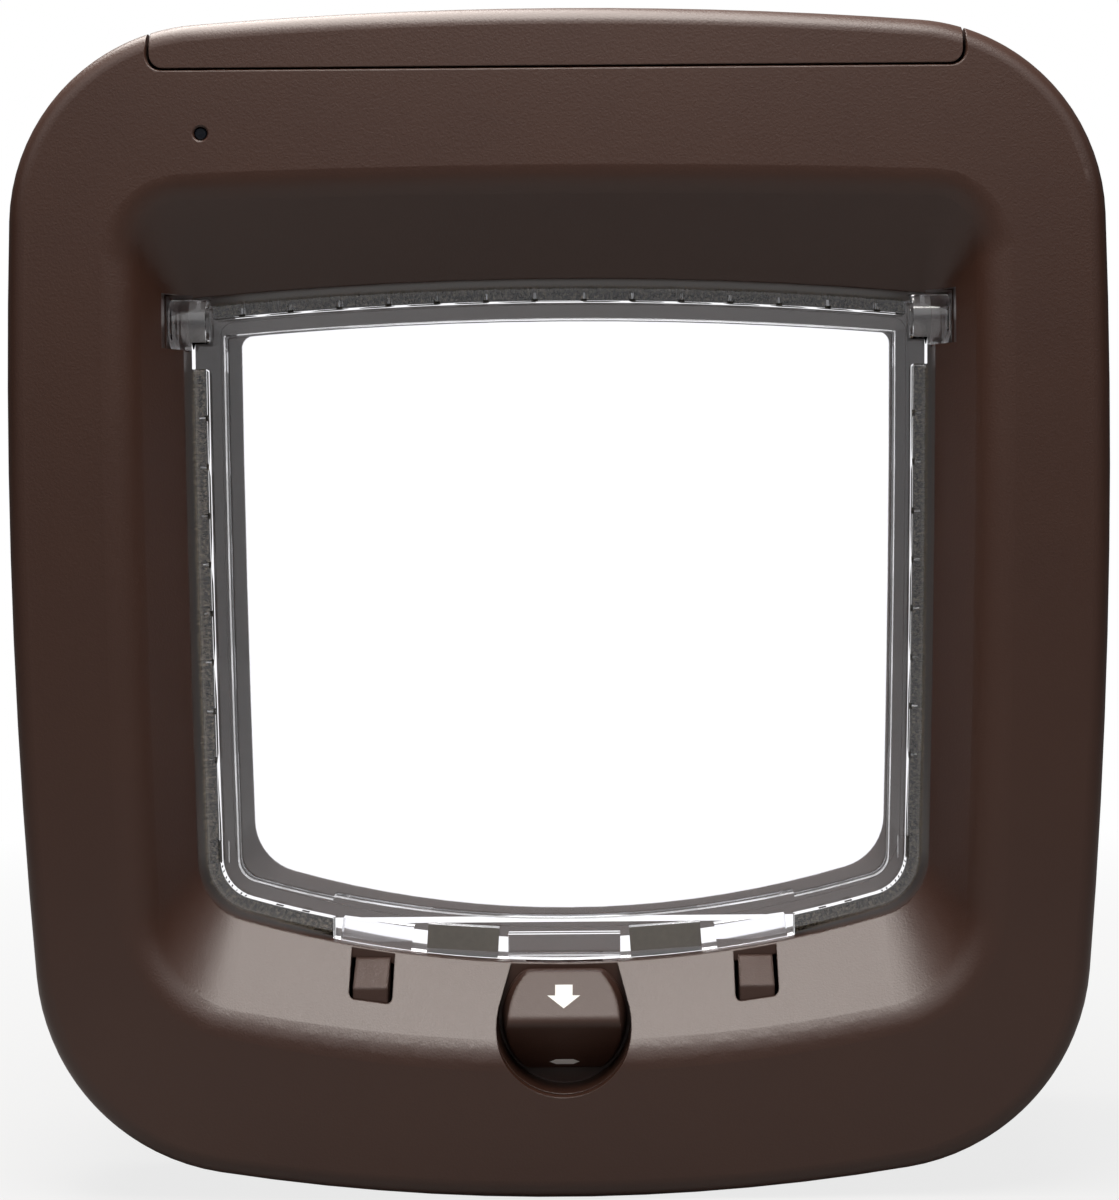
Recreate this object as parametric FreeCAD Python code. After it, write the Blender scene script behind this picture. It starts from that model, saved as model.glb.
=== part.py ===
import FreeCAD, Part
import math
import os

# A cat flap for a door, seen from the room: a moulded room half with a funnel
# round a clear swinging flap, a rotary lock and a pair of latch catches below
# it, a battery compartment on top, and a weather half behind the door.
# Millimetres. X to the right, Y from the room towards the weather side, Z up.
# The origin is the centre of the passage in the plane of the door's room face.

V = FreeCAD.Vector
X_AXIS, Y_AXIS, Z_AXIS = V(1, 0, 0), V(0, 1, 0), V(0, 0, 1)

# Passage: the hole that the flap closes, the same through both halves
PASSAGE_HALF_TOP = 79.0
PASSAGE_TAPER = 2.6
PASSAGE_HALF_BOTTOM = PASSAGE_HALF_TOP - PASSAGE_TAPER
PASSAGE_TOP = 71.8
PASSAGE_BOTTOM = -71.8
PASSAGE_BULGE_TOP = 3.8
PASSAGE_BULGE_SIDE = 0.4
PASSAGE_BULGE_BOTTOM = 12.3
PASSAGE_CORNER_TOP = 3.0
PASSAGE_CORNER_BOTTOM = 13.0
LEAST_CORNER = 0.4

# Funnel from the front face down to the passage
FUNNEL_SIDE_TOP = 9.5
FUNNEL_SIDE_BOTTOM = 8.4
FUNNEL_ABOVE = 18.4
FUNNEL_BELOW = 16.5
MOUTH_HALF_TOP = PASSAGE_HALF_TOP + FUNNEL_SIDE_TOP
MOUTH_HALF_BOTTOM = PASSAGE_HALF_BOTTOM + FUNNEL_SIDE_BOTTOM
MOUTH_TOP = PASSAGE_TOP + FUNNEL_ABOVE
MOUTH_BOTTOM = PASSAGE_BOTTOM - FUNNEL_BELOW
MOUTH_BULGE_TOP = 1.5
MOUTH_BULGE_SIDE = 1.0
MOUTH_BULGE_BOTTOM = 11.0
MOUTH_CORNER_TOP = 12.0
MOUTH_CORNER_BOTTOM = 22.0
FUNNEL_DEPTH = 15.0
FUNNEL_WALL = 2.2
MOUTH_ROUND = 9.0

# Room half: the band round the mouth, its depth and its wall
BAND_SIDE_TOP = 22.5
BAND_SIDE_BOTTOM = 20.0
BAND_ABOVE = 35.8
BAND_BELOW = 29.7
UNIT_HALF_TOP = MOUTH_HALF_TOP + BAND_SIDE_TOP
UNIT_HALF_BOTTOM = MOUTH_HALF_BOTTOM + BAND_SIDE_BOTTOM
UNIT_TOP = MOUTH_TOP + BAND_ABOVE
UNIT_BOTTOM = MOUTH_BOTTOM - BAND_BELOW
UNIT_BULGE_TOP = 6.5
UNIT_BULGE_SIDE = 4.7
UNIT_BULGE_BOTTOM = 12.5
UNIT_CORNER_TOP = 41.4
UNIT_CORNER_BOTTOM = 44.8
UNIT_DEPTH = 38.0
RIM_ROUND = 4.0
WALL = 2.5

# Tunnel of the room half and the coil in it
TUNNEL_WALL = 2.2
TUNNEL_THICK_WALL = 4.5
TUNNEL_REACH = 30.0
COIL_START = 16.0
COIL_WIDTH = 7.0
COIL_DEPTH = 2.5
COIL_GAP = 0.2
BACK_PLATE = 2.5
SHELL_GAP = 0.2

# Weather half
DOOR_THICKNESS = 50.0
OUTER_DEPTH = 12.0
OUTER_INSET = 3.0
OUTER_BEVEL = 3.5
SLEEVE_GAP = 0.5
SLEEVE_WALL = 2.0
SLEEVE_START = 10.0
LINER_GAP = 1.0
LINER_REACH = 2.0

# Flap
FLAP_SETBACK = 20.0
HINGE_DROP = 8.7
HINGE_Z = PASSAGE_TOP - HINGE_DROP
FLAP_GAP = 0.4
PILE_WIDTH = 4.0
PILE_THICK = 3.4
PILE_GAP = 0.2
PANEL_THICK = 2.4
RIM_WIDTH = 3.8
RIM_THICK = 7.0
RAIL_THICK = 7.6
RAIL_HALF = 48.5
RAIL_HEIGHT = 8.6
RAIL_TAPER = 2.1
FLANGE_THICK = 0.9
FLANGE_INSET = 1.9
CLIP_HEIGHT = 4.6
CLIP_WIDTH = 4.0
CLIP_RISE = 0.6
CLIP_UP = 23.7
HUB_RADIUS = 5.3
HUB_LENGTH = 4.2
HUB_INSET = 1.1
HUB_START = PASSAGE_HALF_TOP - HUB_INSET
HUB_ROOT_LENGTH = 3.5
PIN_RADIUS = 2.0
PIN_LENGTH = 5.0
PIN_GAP = 0.05
HUB_GAP = 0.4
HUB_NOTCH = 12.0
HUB_SLOT = 9.0
BEARING_WALL = 1.8
PIN_END_WALL = 1.2
PIN_END_GAP = 0.2
EAR_DROP = 9.6
EAR_RISE = 3.6
EAR_INSET = 1.1
EAR_WIDTH = 5.0
TOOTH_PITCH = 10.3
TOOTH_WIDTH = 1.3
TOOTH_REACH = 1.7
TOOTH_ROOT = 0.8
TOOTH_SINK = 0.6
SIDE_TEETH = 8
TOP_TEETH = 14
TONGUE_HALF = 11.8
TONGUE_HEIGHT = 4.6
TONGUE_RISE = 0.8
FLAP_MAGNET_LENGTH = 15.0
FLAP_MAGNET_HEIGHT = 5.0
FLAP_MAGNET_THICK = 5.0
FLAP_MAGNET_X = 21.3
MAGNET_SLOPE = 3.8
MAGNET_RISE = 1.2
SLOT_START = 32.0
SLOT_LENGTH = 15.0
SLOT_HEIGHT = 3.6
SLOT_RISE = 1.4

# Rotary lock
LOCK_DROP = 11.2
LOCK_Z = PASSAGE_BOTTOM - LOCK_DROP
KNOB_RADIUS = 13.1
KNOB_GAP = 0.8
KNOB_BASE = 2.0
KNOB_FLAT = 10.1
KNOB_CORNER = 3.5
KNOB_TAPER = 1.6
KNOB_SHOULDER = 2.0
KNOB_TOE = 0.8
KNOB_RIDGE = 10.6
RIDGE_Z = 1.1
RIDGE_ROUND = 2.0
WELL_MOUTH_HALF = 11.1
WELL_FLOOR = 1.6
WELL_LIP = 0.1
WELL_NECK = 0.35
BARREL_RADIUS = 9.5
REAR_RIM_RADIUS = 13.4
REAR_RIM_WIDTH = 4.6
REAR_RIM_FLAT = 10.3
RIM_END_GAP = 0.6
STUB_RADIUS = 5.0
STUB_SINK = 0.4
KNOB_SCREW = 1.1
KNOB_SCREW_HEAD = 2.6
KNOB_SCREW_HEIGHT = 1.6
KNOB_SCREW_GRIP = 5.5
SCREW_CROSS = 0.6
CROSS_WIDTH = 0.35
TONGUE_CLEAR = 1.0
RUNNING_GAP = 0.05
CUP_WALL = 2.0

# Latch
CATCH_X = 40.0
CATCH_WIDTH = 7.2
CATCH_DEPTH = 4.3
CATCH_RISE = 1.6
CATCH_TOP = PASSAGE_BOTTOM + CATCH_RISE
CATCH_SLOPE = 5.2
CATCH_STEP_DROP = 13.2
CATCH_STEP_Z = PASSAGE_BOTTOM - CATCH_STEP_DROP
CATCH_SETBACK = 0.6
CATCH_NOSE = 3.0
NOSE_DROP = 11.0
NOSE_GAP = 0.4
WINDOW_LIP = 0.3
WINDOW_ROUND = 1.2
LATCH_TRAVEL = 5.0
WINDOW_GAP = 0.9
BAR_THICK = 3.0
BAR_HEIGHT = 4.6
BAR_DROP = 37.7
BAR_BOTTOM = PASSAGE_BOTTOM - BAR_DROP
BAR_END = 1.0
GUIDE_WALL = 2.0
GUIDE_GAP = 0.4
GUIDE_END_GAP = 1.0
TOOTH_MODULE = 0.9
PINION_TEETH = 12
PRESSURE_ANGLE = 25.0
TOOTH_BACKLASH = 0.16
TOOTH_ADDENDUM = 0.8
FLANK_STEPS = 2
PINION_WIDTH = 4.5
PINION_OUT = 10.5
PINION_X = CATCH_X + PINION_OUT
PINION_DROP = 27.2
PINION_Z = PASSAGE_BOTTOM - PINION_DROP
RACK_HALF = 8.0
RACK_SIDE = 0.5
DEDENDUM = 1.1
PINION_HUB = 2.8
PINION_HUB_LENGTH = 1.5
MOTOR_LENGTH = 24.0
MOTOR_WIDTH = 10.0
MOTOR_HEIGHT = 12.0
MOTOR_SHAFT = 1.5
MOTOR_BOSS = 2.0
MOTOR_BOSS_LENGTH = 1.2
GEARBOX_LENGTH = 9.0
PINION_SIDE_GAP = 1.0
SHAFT_END = 2.0
CRADLE_INSET = 4.0
CRADLE_DEPTH = 2.0

# Frame magnets
FRAME_MAGNET_X = 22.6
FRAME_MAGNET_LENGTH = 12.0
FRAME_MAGNET_HEIGHT = 4.5
FRAME_MAGNET_THICK = 6.0
MAGNET_SINK = 0.5
POCKET_WALL = 1.4

# Battery compartment
COVER_SIDE = 28.0
COVER_HALF = UNIT_HALF_TOP - COVER_SIDE
COVER_HEIGHT = 12.4
COVER_BOTTOM = UNIT_TOP - COVER_HEIGHT
COVER_WALL = 2.2
COVER_CORNER = 2.8
COVER_GAP = 0.4
COVER_SIDE_GAP = 0.7
EDGE_BEVEL = 0.3
CELL_RADIUS = 7.15
CELL_LENGTH = 50.2
CELL_GAP = 0.5
CELL_NUB_RADIUS = 2.7
CELL_NUB = 1.2
SPRING_LENGTH = 3.6
LEAF_THICK = 0.4
LEAF_WIDTH = 4.0
LEAF_SHARE = 0.6
PLATE_THICK = 0.5
PLATE_SHARE = 0.7
TRAY_WALL = 2.0
TRAY_DIVIDER_HALF = 9.0
TRAY_DEPTH = 21.6
TRAY_FLOOR_Z = UNIT_TOP - TRAY_DEPTH
TRAY_FRONT_GAP = 2.2
TRAY_END_DROP = 4.0
CELL_BACK_GAP = 0.4
CELL_SIDE_GAP = 0.3

# Electronics
BOARD_THICK = 1.6
BOARD_Y = -9.6
BOARD_LEFT = -PASSAGE_HALF_TOP - 5.0
BOARD_RIGHT = PASSAGE_HALF_TOP - 21.0
BOARD_RISE = 6.2
BOARD_BOTTOM = PASSAGE_TOP + BOARD_RISE
BOARD_GAP = 0.4
# Each part on the board: its left and lower edge, width, height and depth
CHIPS = ((-40.0, 6.0, 7.0, 7.0, 1.4), (-18.0, 4.0, 5.0, 6.0, 1.6), (8.0, 4.0, 9.0, 4.0, 5.0),
         (30.0, 8.0, 4.0, 4.0, 7.0), (-60.0, 8.0, 3.0, 5.0, 2.0), (40.0, 7.0, 3.0, 3.0, 3.0))
SWITCH_DEPTH = 4.0
SWITCH_HEIGHT = 6.0
SWITCH_DROP = 0.5
BOARD_SCREW = 1.0
BOARD_SCREW_HEAD = 2.0
BOARD_SCREW_HEIGHT = 1.2
BOARD_SCREW_HOLE = 1.3
BOARD_SCREW_X = 6.0
BOARD_SCREW_Z = 4.0
LED_X = 6.4 - PASSAGE_HALF_TOP
LED_RISE = 10.0
LED_Z = MOUTH_TOP + LED_RISE
LED_RADIUS = 1.4
LED_SINK = 0.4
BUTTON_RADIUS = 3.0
BUTTON_GAP = 0.2
BUTTON_TRAVEL = 0.8
BUTTON_CAP = 4.0
BUTTON_RISE = 0.5
BUTTON_STEM = 1.2

# Screws
FIX_POINTS = ((PASSAGE_HALF_TOP + 18.0, PASSAGE_TOP - 13.8),
              (PASSAGE_HALF_BOTTOM + 16.6, PASSAGE_BOTTOM + 9.8))
FIX_SHANK = 2.0
FIX_HEAD = 4.2
FIX_HEAD_HEIGHT = 3.0
FIX_BOSS = 5.0
FIX_REACH = 14.0
FIX_BOSS_END = 1.5
FIX_TIP_GAP = 0.5
FIX_HEAD_SETBACK = 3.0
FIX_HOLE_GAP = 0.3
CAP_RADIUS = 5.4
CAP_GAP = 0.15
CAP_SINK = 0.3
CAP_WALL = 1.8
SEAT_GAP = 0.3
FRAME_POINTS = ((PASSAGE_HALF_TOP + 20.0, PASSAGE_TOP + 12.2),
                (PASSAGE_HALF_BOTTOM + 9.6, PASSAGE_BOTTOM - 12.2))
FRAME_SHANK = 1.5
FRAME_HEAD = 2.9
FRAME_HEAD_HEIGHT = 1.6
FRAME_BOSS = 3.5
FRAME_REACH = 12.0

# Working allowances: overlap of fused pieces, overshoot of cuts, and the
# distance within which two planes count as one
FUSE_LAP = 0.6
CUT_LAP = 1.0
CLOSE = 0.01

# Places that follow from the sizes above
BOARD_TOP = TRAY_FLOOR_Z - TRAY_WALL - BOARD_GAP
HUB_ROOT = HUB_START - HUB_ROOT_LENGTH
EAR_START = HUB_START - EAR_WIDTH
FRONT = -UNIT_DEPTH
FLAP_Y = FRONT + FLAP_SETBACK
THROAT_Y = FRONT + FUNNEL_DEPTH
OUTER_BACK = DOOR_THICKNESS
OUTER_FACE = DOOR_THICKNESS + OUTER_DEPTH
SLEEVE_IN = TUNNEL_THICK_WALL + SLEEVE_GAP
SLEEVE_OUT = SLEEVE_IN + SLEEVE_WALL


def block(x0, x1, y0, y1, z0, z1):
    """A box between two corners."""
    return Part.makeBox(x1 - x0, y1 - y0, z1 - z0, V(x0, y0, z0))


def slab_z(z0, z1, x0=-UNIT_HALF_TOP, x1=UNIT_HALF_TOP):
    """The part of space between two heights, as wide as the room half."""
    return block(x0, x1, -UNIT_DEPTH, OUTER_FACE, z0, z1)


def rod_x(radius, x0, x1, y, z):
    return Part.makeCylinder(radius, x1 - x0, V(x0, y, z), X_AXIS)


def rod_y(radius, y0, y1, x, z):
    return Part.makeCylinder(radius, y1 - y0, V(x, y0, z), Y_AXIS)


def rod_z(radius, z0, z1, x, y):
    return Part.makeCylinder(radius, z1 - z0, V(x, y, z0), Z_AXIS)


def prism_x(points, x0, x1):
    """A solid between two X planes from (y, z) corners."""
    loop = [V(x0, y, z) for y, z in points]
    face = Part.Face(Part.makePolygon(loop + loop[:1]))
    return face.extrude(V(x1 - x0, 0, 0))


def both_sides(shape):
    """A shape and its mirror image in the plane X = 0."""
    return [shape, shape.mirror(V(0, 0, 0), X_AXIS)]


def fuse(shapes):
    first, rest = shapes[0], list(shapes[1:])
    return first.multiFuse(rest).removeSplitter() if rest else first


def cut(shape, tools):
    return shape.cut(list(tools)).removeSplitter()


def tilted(shape, degrees, x, z):
    """A shape turned about the line through (x, z) that runs along Y."""
    turned = shape.copy()
    turned.rotate(V(x, 0, z), Y_AXIS, degrees)
    return turned


class Outline:
    """A rounded shape of four bulged sides, symmetric about X = 0."""

    def __init__(self, half_top, half_bottom, top, bottom,
                 bulge_top, bulge_side, bulge_bottom, corner_top, corner_bottom):
        high = (half_top, top - bulge_top)
        low = (half_bottom, bottom + bulge_bottom)
        self.top = bulged((-half_top, high[1]), high, bulge_top)
        self.side = bulged(high, low, bulge_side)
        self.bottom = bulged(low, (-half_bottom, low[1]), bulge_bottom)
        self.corners = ((high, corner_top), (low, corner_bottom))

    def wire(self, y, inset=0.0):
        """The closed wire in the plane Y = y, drawn in by inset."""
        arcs = [(c, r - inset) for c, r in (self.top, self.side, self.bottom)]
        joints, rounds = [], []
        for (near, radius), pair in zip(self.corners, (arcs[:2], arcs[1:])):
            radius = max(radius - inset, LEAST_CORNER)
            centre = meeting(pair[0], pair[1], radius, near)
            joints += [touch(arc, centre) for arc in pair]
            rounds.append((centre, radius))
        apex = (0.0, arcs[0][0][1] + arcs[0][1])
        foot = (0.0, arcs[2][0][1] - arcs[2][1])
        right = [(joints[0], mid_of(rounds[0], joints[0], joints[1]), joints[1]),
                 (joints[1], mid_of(arcs[1], joints[1], joints[2]), joints[2]),
                 (joints[2], mid_of(rounds[1], joints[2], joints[3]), joints[3])]
        left = [tuple((-x, z) for x, z in reversed(arc)) for arc in reversed(right)]
        path = [((-joints[0][0], joints[0][1]), apex, joints[0])] + right
        path += [(joints[3], foot, (-joints[3][0], joints[3][1]))] + left
        return Part.Wire([arc_edge(arc, y) for arc in path])

    def solid(self, y0, y1, inset=0.0):
        return Part.Face(self.wire(y0, inset)).extrude(V(0, y1 - y0, 0))

    def ring(self, y0, y1, outer, inner):
        """The band between two insets of the outline."""
        return self.solid(y0, y1, outer).cut(self.solid(y0, y1, inner))


def bulged(p, q, bulge):
    """Centre and radius of the arc from p to q, clockwise, by its rise."""
    half = math.hypot(q[0] - p[0], q[1] - p[1]) / 2
    radius = (half * half + bulge * bulge) / (2 * bulge)
    along = ((q[0] - p[0]) / (2 * half), (q[1] - p[1]) / (2 * half))
    reach = radius - bulge
    centre = ((p[0] + q[0]) / 2 + along[1] * reach,
              (p[1] + q[1]) / 2 - along[0] * reach)
    return centre, radius


def meeting(first, second, radius, near):
    """Centre of the rounding that touches two arcs inside, near a corner."""
    (ax, az), a = first[0], first[1] - radius
    (bx, bz), b = second[0], second[1] - radius
    gap = math.hypot(bx - ax, bz - az)
    ex, ez = (bx - ax) / gap, (bz - az) / gap
    along = (a * a - b * b + gap * gap) / (2 * gap)
    across = math.sqrt(a * a - along * along)
    found = [(ax + ex * along - s * ez * across, az + ez * along + s * ex * across)
             for s in (1, -1)]
    return min(found, key=lambda p: math.hypot(p[0] - near[0], p[1] - near[1]))


def touch(arc, centre):
    """The point where a rounding with this centre touches an arc."""
    (cx, cz), radius = arc
    away = math.hypot(centre[0] - cx, centre[1] - cz)
    return (cx + (centre[0] - cx) / away * radius,
            cz + (centre[1] - cz) / away * radius)


def mid_of(arc, p, q):
    """The point halfway along an arc between p and q."""
    (cx, cz), radius = arc
    mx, mz = (p[0] + q[0]) / 2 - cx, (p[1] + q[1]) / 2 - cz
    length = math.hypot(mx, mz)
    return (cx + mx / length * radius, cz + mz / length * radius)


def arc_edge(arc, y):
    return Part.Arc(*[V(x, y, z) for x, z in arc]).toShape()


UNIT = Outline(UNIT_HALF_TOP, UNIT_HALF_BOTTOM, UNIT_TOP, UNIT_BOTTOM,
               UNIT_BULGE_TOP, UNIT_BULGE_SIDE, UNIT_BULGE_BOTTOM,
               UNIT_CORNER_TOP, UNIT_CORNER_BOTTOM)
PASSAGE = Outline(PASSAGE_HALF_TOP, PASSAGE_HALF_BOTTOM, PASSAGE_TOP, PASSAGE_BOTTOM,
                  PASSAGE_BULGE_TOP, PASSAGE_BULGE_SIDE, PASSAGE_BULGE_BOTTOM,
                  PASSAGE_CORNER_TOP, PASSAGE_CORNER_BOTTOM)
MOUTH = Outline(MOUTH_HALF_TOP, MOUTH_HALF_BOTTOM, MOUTH_TOP, MOUTH_BOTTOM,
                MOUTH_BULGE_TOP, MOUTH_BULGE_SIDE, MOUTH_BULGE_BOTTOM,
                MOUTH_CORNER_TOP, MOUTH_CORNER_BOTTOM)


def rounded_slab():
    """The room half's outer form, its rim rounded at the front face."""
    slab = UNIT.solid(FRONT, 0)
    return slab.makeFillet(RIM_ROUND, [e for e in slab.Edges if edge_at(e, FRONT)])


def edge_at(edge, y):
    """Whether an edge lies in the plane Y = y."""
    return max(abs(edge.BoundBox.YMin - y), abs(edge.BoundBox.YMax - y)) < CLOSE


def bevelled(shape, size, y):
    """A shape with its edges in the plane Y = y bevelled."""
    return shape.makeChamfer(size, [e for e in shape.Edges if edge_at(e, y)])


def funnel(wall=0.0):
    """The funnel's space from the face to the throat, or its wall's rear."""
    wires = [MOUTH.wire(FRONT, -wall), PASSAGE.wire(THROAT_Y, -wall)]
    return Part.makeLoft(wires, True, True)


def on_mouth(edge):
    """Whether an edge of the front face belongs to the funnel's mouth."""
    box = edge.BoundBox
    half = MOUTH_HALF_TOP + BAND_SIDE_TOP / 2
    low, high = MOUTH_BOTTOM - BAND_BELOW / 2, MOUTH_TOP + BAND_ABOVE / 2
    return (edge_at(edge, FRONT) and max(-box.XMin, box.XMax) < half
            and low < box.ZMin and box.ZMax < high)


def fix_points():
    return [(s * x, z) for x, z in FIX_POINTS for s in (-1, 1)]


def frame_points():
    return [(s * x, z) for x, z in FRAME_POINTS for s in (-1, 1)]


def cover_wire(y, grow, side_grow):
    """The battery cover's outline: square on top, rounded below."""
    half, low, top = COVER_HALF + side_grow, COVER_BOTTOM - grow, UNIT_TOP + CUT_LAP
    radius = COVER_CORNER + grow
    bend = radius * (1 - math.sqrt(0.5))
    right = [((half, top), (half, low + radius)),
             ((half, low + radius), (half - bend, low + bend), (half - radius, low))]
    left = [tuple((-x, z) for x, z in reversed(part)) for part in reversed(right)]
    path = right + [((half - radius, low), (radius - half, low))] + left
    path.append(((-half, top), (half, top)))
    edges = [arc_edge(part, y) if len(part) == 3 else
             Part.makeLine(*[V(x, y, z) for x, z in part]) for part in path]
    return Part.Wire(edges)


def cover_space(grow, side_grow):
    """The place of the battery cover in the room half's shell."""
    depth = UNIT_DEPTH + CUT_LAP - BACK_PLATE - SHELL_GAP + grow
    return Part.Face(cover_wire(FRONT - CUT_LAP, grow, side_grow)).extrude(V(0, depth, 0))


def cover_edge_bevel():
    """The bevel on the shell's front edge along the battery cover."""
    wide = cover_wire(FRONT, COVER_GAP + EDGE_BEVEL, COVER_SIDE_GAP + EDGE_BEVEL)
    return Part.makeLoft([wide, cover_wire(FRONT + EDGE_BEVEL, COVER_GAP, COVER_SIDE_GAP)],
                         True, True)


# Front cover

def well(radius, y0, y1):
    """The knob's well: a round pocket, open upwards to the flap."""
    disc = rod_y(radius, y0, y1, 0, LOCK_Z)
    half = WELL_MOUTH_HALF + radius - KNOB_RADIUS - KNOB_GAP
    low = LOCK_Z + radius * WELL_NECK
    side = radius * math.sqrt(1 - WELL_NECK ** 2)
    corners = [(-side, low), (-half, PASSAGE_BOTTOM + WELL_LIP),
               (half, PASSAGE_BOTTOM + WELL_LIP), (side, low)]
    loop = [V(x, y0, z) for x, z in corners]
    neck = Part.Face(Part.makePolygon(loop + loop[:1])).extrude(V(0, y1 - y0, 0))
    return disc.fuse(neck)


def well_back():
    """Y of the knob well's floor."""
    return THROAT_Y - SHELL_GAP


def catch_front():
    return THROAT_Y - CATCH_SETBACK - CATCH_DEPTH


def nose_front():
    return catch_front() - CATCH_NOSE


def hub_notch():
    """The slot in the funnel's side that shows the flap's hub."""
    radius = HUB_RADIUS + HUB_GAP
    side = HUB_START + HUB_LENGTH + HUB_GAP
    start = HUB_START - CUT_LAP
    barrel = rod_x(radius, start, side, FLAP_Y, HINGE_Z)
    slot = block(start, side, FLAP_Y - HUB_NOTCH - CUT_LAP * 2, FLAP_Y,
                 HINGE_Z - radius, HINGE_Z + radius)
    return barrel.fuse(slot)


def front_cover():
    """Shell, funnel with a rolled mouth, knob well, bosses and latch guides."""
    form = rounded_slab().cut([funnel(), PASSAGE.solid(THROAT_Y - FUSE_LAP, FUSE_LAP)])
    shell = form.cut(UNIT.solid(FRONT + WALL, CUT_LAP, WALL))
    funnel_wall = funnel(FUNNEL_WALL).common(form)
    well_wall = well(KNOB_RADIUS + KNOB_GAP + CUP_WALL, FRONT + RIM_ROUND,
                     well_back() + WELL_FLOOR).common(form)
    bosses = [rod_y(FRAME_BOSS, FRONT + WALL - FUSE_LAP, -BACK_PLATE - SHELL_GAP, x, z)
              for x, z in frame_points()]
    body = fuse([shell, funnel_wall, well_wall] + bosses + latch_guides())
    body = body.makeFillet(MOUTH_ROUND, [e for e in body.Edges if on_mouth(e)])
    holes = [cover_space(COVER_GAP, COVER_SIDE_GAP), cover_edge_bevel(),
             well(KNOB_RADIUS + KNOB_GAP, FRONT - CUT_LAP, well_back()),
             rod_y(BARREL_RADIUS + RUNNING_GAP, well_back() - CUT_LAP, 0, 0, LOCK_Z),
             rod_y(LED_RADIUS, FRONT - CUT_LAP, 0, LED_X, LED_Z), lamp_bevel()]
    holes += [rod_y(FRAME_SHANK, -FRAME_REACH - BACK_PLATE, 0, x, z)
              for x, z in frame_points()]
    holes += [catch_window(s) for s in (-1, 1)]
    holes += both_sides(hub_notch())
    return cut(body, holes)


def catch_window(side):
    """The opening in the funnel that a catch rises through."""
    half = CATCH_WIDTH / 2 + WINDOW_GAP
    space = block(side * CATCH_X - half, side * CATCH_X + half, nose_front() - NOSE_GAP,
                  THROAT_Y - WINDOW_LIP, CATCH_STEP_Z - LATCH_TRAVEL, 0)
    front = [e for e in space.Edges if edge_at(e, nose_front() - NOSE_GAP)
             and e.BoundBox.XLength < CLOSE]
    return space.makeFillet(WINDOW_ROUND, front)


def lamp_bevel():
    """The small countersink round the lamp's hole."""
    return Part.makeCone(LED_RADIUS + EDGE_BEVEL, LED_RADIUS, EDGE_BEVEL,
                         V(LED_X, FRONT, LED_Z), Y_AXIS)


def latch_guides():
    """Ribs inside the front wall on both sides of each catch's post."""
    ribs = []
    for s in (-1, 1):
        for t in (-1, 1):
            x = s * CATCH_X + t * (CATCH_WIDTH / 2 + GUIDE_GAP + GUIDE_WALL / 2)
            low = BAR_BOTTOM + BAR_HEIGHT + LATCH_TRAVEL + GUIDE_END_GAP
            ribs.append(block(x - GUIDE_WALL / 2, x + GUIDE_WALL / 2, FRONT + WALL - FUSE_LAP,
                              catch_front() + BAR_THICK, low, CATCH_STEP_Z - GUIDE_END_GAP))
    return ribs


# Battery cover

def battery_cover():
    outer = rounded_slab().common(cover_space(0, 0))
    inner = UNIT.solid(FRONT + COVER_WALL, CUT_LAP, COVER_WALL)
    room = block(-COVER_HALF + COVER_WALL, COVER_HALF - COVER_WALL, FRONT, CUT_LAP, 0, UNIT_TOP)
    return cut(outer, [inner.common(room)])


# Back housing: plate, tunnel, battery tray, lock cup, motor cradle

def tray():
    """The battery tray, open upwards under the battery cover."""
    half = TRAY_DIVIDER_HALF + CELL_LENGTH + SPRING_LENGTH + 2 * PLATE_THICK + CELL_GAP
    front = -BACK_PLATE - 4 * CELL_RADIUS - TRAY_FRONT_GAP
    top = TRAY_FLOOR_Z + 2 * CELL_RADIUS
    floor = block(-half - TRAY_WALL, half + TRAY_WALL, front, -BACK_PLATE,
                  TRAY_FLOOR_Z - TRAY_WALL, TRAY_FLOOR_Z)
    ends = both_sides(block(half, half + TRAY_WALL, front, -BACK_PLATE,
                            TRAY_FLOOR_Z - TRAY_WALL, top - TRAY_END_DROP))
    divider = block(-TRAY_DIVIDER_HALF, TRAY_DIVIDER_HALF, front, -BACK_PLATE,
                    TRAY_FLOOR_Z - TRAY_WALL, top)
    hollow = block(-TRAY_DIVIDER_HALF + TRAY_WALL, TRAY_DIVIDER_HALF - TRAY_WALL,
                   front + TRAY_WALL, -BACK_PLATE - CUT_LAP,
                   TRAY_FLOOR_Z - TRAY_WALL - CUT_LAP, top - TRAY_WALL)
    return [floor] + ends + [divider], hollow


def cell_rows():
    """The Y of the two rows of cells, back row first."""
    back = -BACK_PLATE - CELL_BACK_GAP - CELL_RADIUS
    return (back, back - 2 * CELL_RADIUS - CELL_SIDE_GAP)


def cup_front():
    """Y of the lock cup's front, a gap behind the well's floor."""
    return well_back() + WELL_FLOOR + SHELL_GAP


def lock_cup():
    front = cup_front()
    outer = well(KNOB_RADIUS + KNOB_GAP + CUP_WALL, front, -BACK_PLATE)
    below = slab_z(UNIT_BOTTOM, PASSAGE_BOTTOM - WELL_LIP)
    return outer.common(below)


def rear_rim_start():
    return FLAP_Y + RAIL_THICK / 2 + TONGUE_CLEAR


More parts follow.
